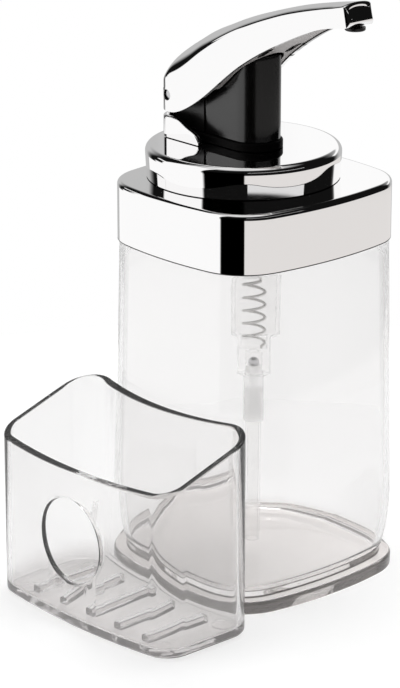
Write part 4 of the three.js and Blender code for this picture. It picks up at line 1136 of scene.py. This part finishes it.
hole_profile = [(HOLE_RADIUS + HOLE_EDGE, CADDY_FRONT - CADDY_WALL)]
hole_start = CADDY_FRONT + HOLE_SINK
hole_end = CADDY_FRONT + CADDY_WALL
hole_back = hole_end + HOLE_SINK
hole_profile += arc((HOLE_RADIUS + HOLE_EDGE, hole_start + HOLE_EDGE), HOLE_EDGE, 270, 180, EDGE_STEPS)
hole_profile += arc((HOLE_RADIUS + HOLE_EDGE, hole_back - HOLE_EDGE), HOLE_EDGE, 180, 90, EDGE_STEPS)
hole_profile += [(HOLE_RADIUS + HOLE_EDGE, hole_end + CADDY_WALL)]
hole_rings = [
    [(HOLE_X + x, y, HOLE_Z + z) for x, z in arc((0, 0), radius, 0, 360, ROUND_STEPS)[:-1]]
    for radius, y in hole_profile
]
cut(caddy, skin("hole", hole_rings), "DIFFERENCE")


def rib_tree():
    """Geometry nodes that set ribs side by side on a floor and join them to it."""
    inputs = {"Moulding": "Geometry", "Rib": "Object", "Count": "Int"}
    inputs |= {"First": "Vector", "Step": "Vector", "Finish": "Material"}
    tree = open_tree("floor_ribs", inputs, "Moulding")
    given = tree.nodes.new("NodeGroupInput")
    result = tree.nodes.new("NodeGroupOutput")
    shape = tree.nodes.new("GeometryNodeObjectInfo")
    row = tree.nodes.new("GeometryNodeMeshLine")
    copies = tree.nodes.new("GeometryNodeInstanceOnPoints")
    real = tree.nodes.new("GeometryNodeRealizeInstances")
    fuse = tree.nodes.new("GeometryNodeMeshBoolean")
    paint = tree.nodes.new("GeometryNodeSetMaterial")
    fuse.operation = "UNION"
    fuse.solver = "EXACT"
    tree.links.new(given.outputs["Rib"], shape.inputs["Object"])
    tree.links.new(given.outputs["Count"], row.inputs["Count"])
    tree.links.new(given.outputs["First"], row.inputs["Start Location"])
    tree.links.new(given.outputs["Step"], row.inputs["Offset"])
    tree.links.new(row.outputs["Mesh"], copies.inputs["Points"])
    tree.links.new(shape.outputs["Geometry"], copies.inputs["Instance"])
    tree.links.new(copies.outputs["Instances"], real.inputs["Geometry"])
    tree.links.new(given.outputs["Moulding"], fuse.inputs["Mesh 2"])
    tree.links.new(real.outputs["Geometry"], fuse.inputs["Mesh 2"])
    tree.links.new(fuse.outputs["Mesh"], paint.inputs["Geometry"])
    tree.links.new(given.outputs["Finish"], paint.inputs["Material"])
    tree.links.new(paint.outputs["Geometry"], result.inputs["Moulding"])
    return tree


rib_top = CADDY_FLOOR + RIB_HEIGHT
rib_profile = [(-RIB_WIDTH / 2, CADDY_FLOOR - FLOOR_BITE), (RIB_WIDTH / 2, CADDY_FLOOR - FLOOR_BITE)]
rib_profile += arc((RIB_WIDTH / 2 - RIB_EDGE, rib_top - RIB_EDGE), RIB_EDGE, 0, 90, EDGE_STEPS)
rib_profile += arc((RIB_EDGE - RIB_WIDTH / 2, rib_top - RIB_EDGE), RIB_EDGE, 90, 180, EDGE_STEPS)
rib = skin("rib", [[(x, y, z) for x, z in rib_profile] for y in (RIB_FRONT, RIB_BACK)])
ribs = caddy.modifiers.new("ribs", "NODES")
ribs.node_group = rib_tree()
first_rib = (RIB_MIDDLE - RIB_PITCH * (RIB_COUNT - 1) / 2) * MILLIMETRE
set_inputs(
    ribs, Rib=rib, Count=RIB_COUNT, First=(first_rib, 0, 0), Step=(RIB_PITCH * MILLIMETRE, 0, 0),
    Finish=caddy_plastic,
)
settle(caddy)
bpy.data.objects.remove(rib)
for x in (CADDY_X - CADDY_FOOT_X, CADDY_X + CADDY_FOOT_X):
    for y in (CADDY_FOOT_FRONT, CADDY_FOOT_BACK):
        stub = [[(a, b + y, z) for a, b, _ in round_ring(CADDY_FOOT_RADIUS, 0, x, TOOL_STEPS)]
                for z in (0, CADDY_FLOOR_LOW + FLOOR_BITE)]
        cut(caddy, skin("stub", stub), "UNION")
place(caddy, "caddy", "clear_plastic", caddy_plastic, "caddy")
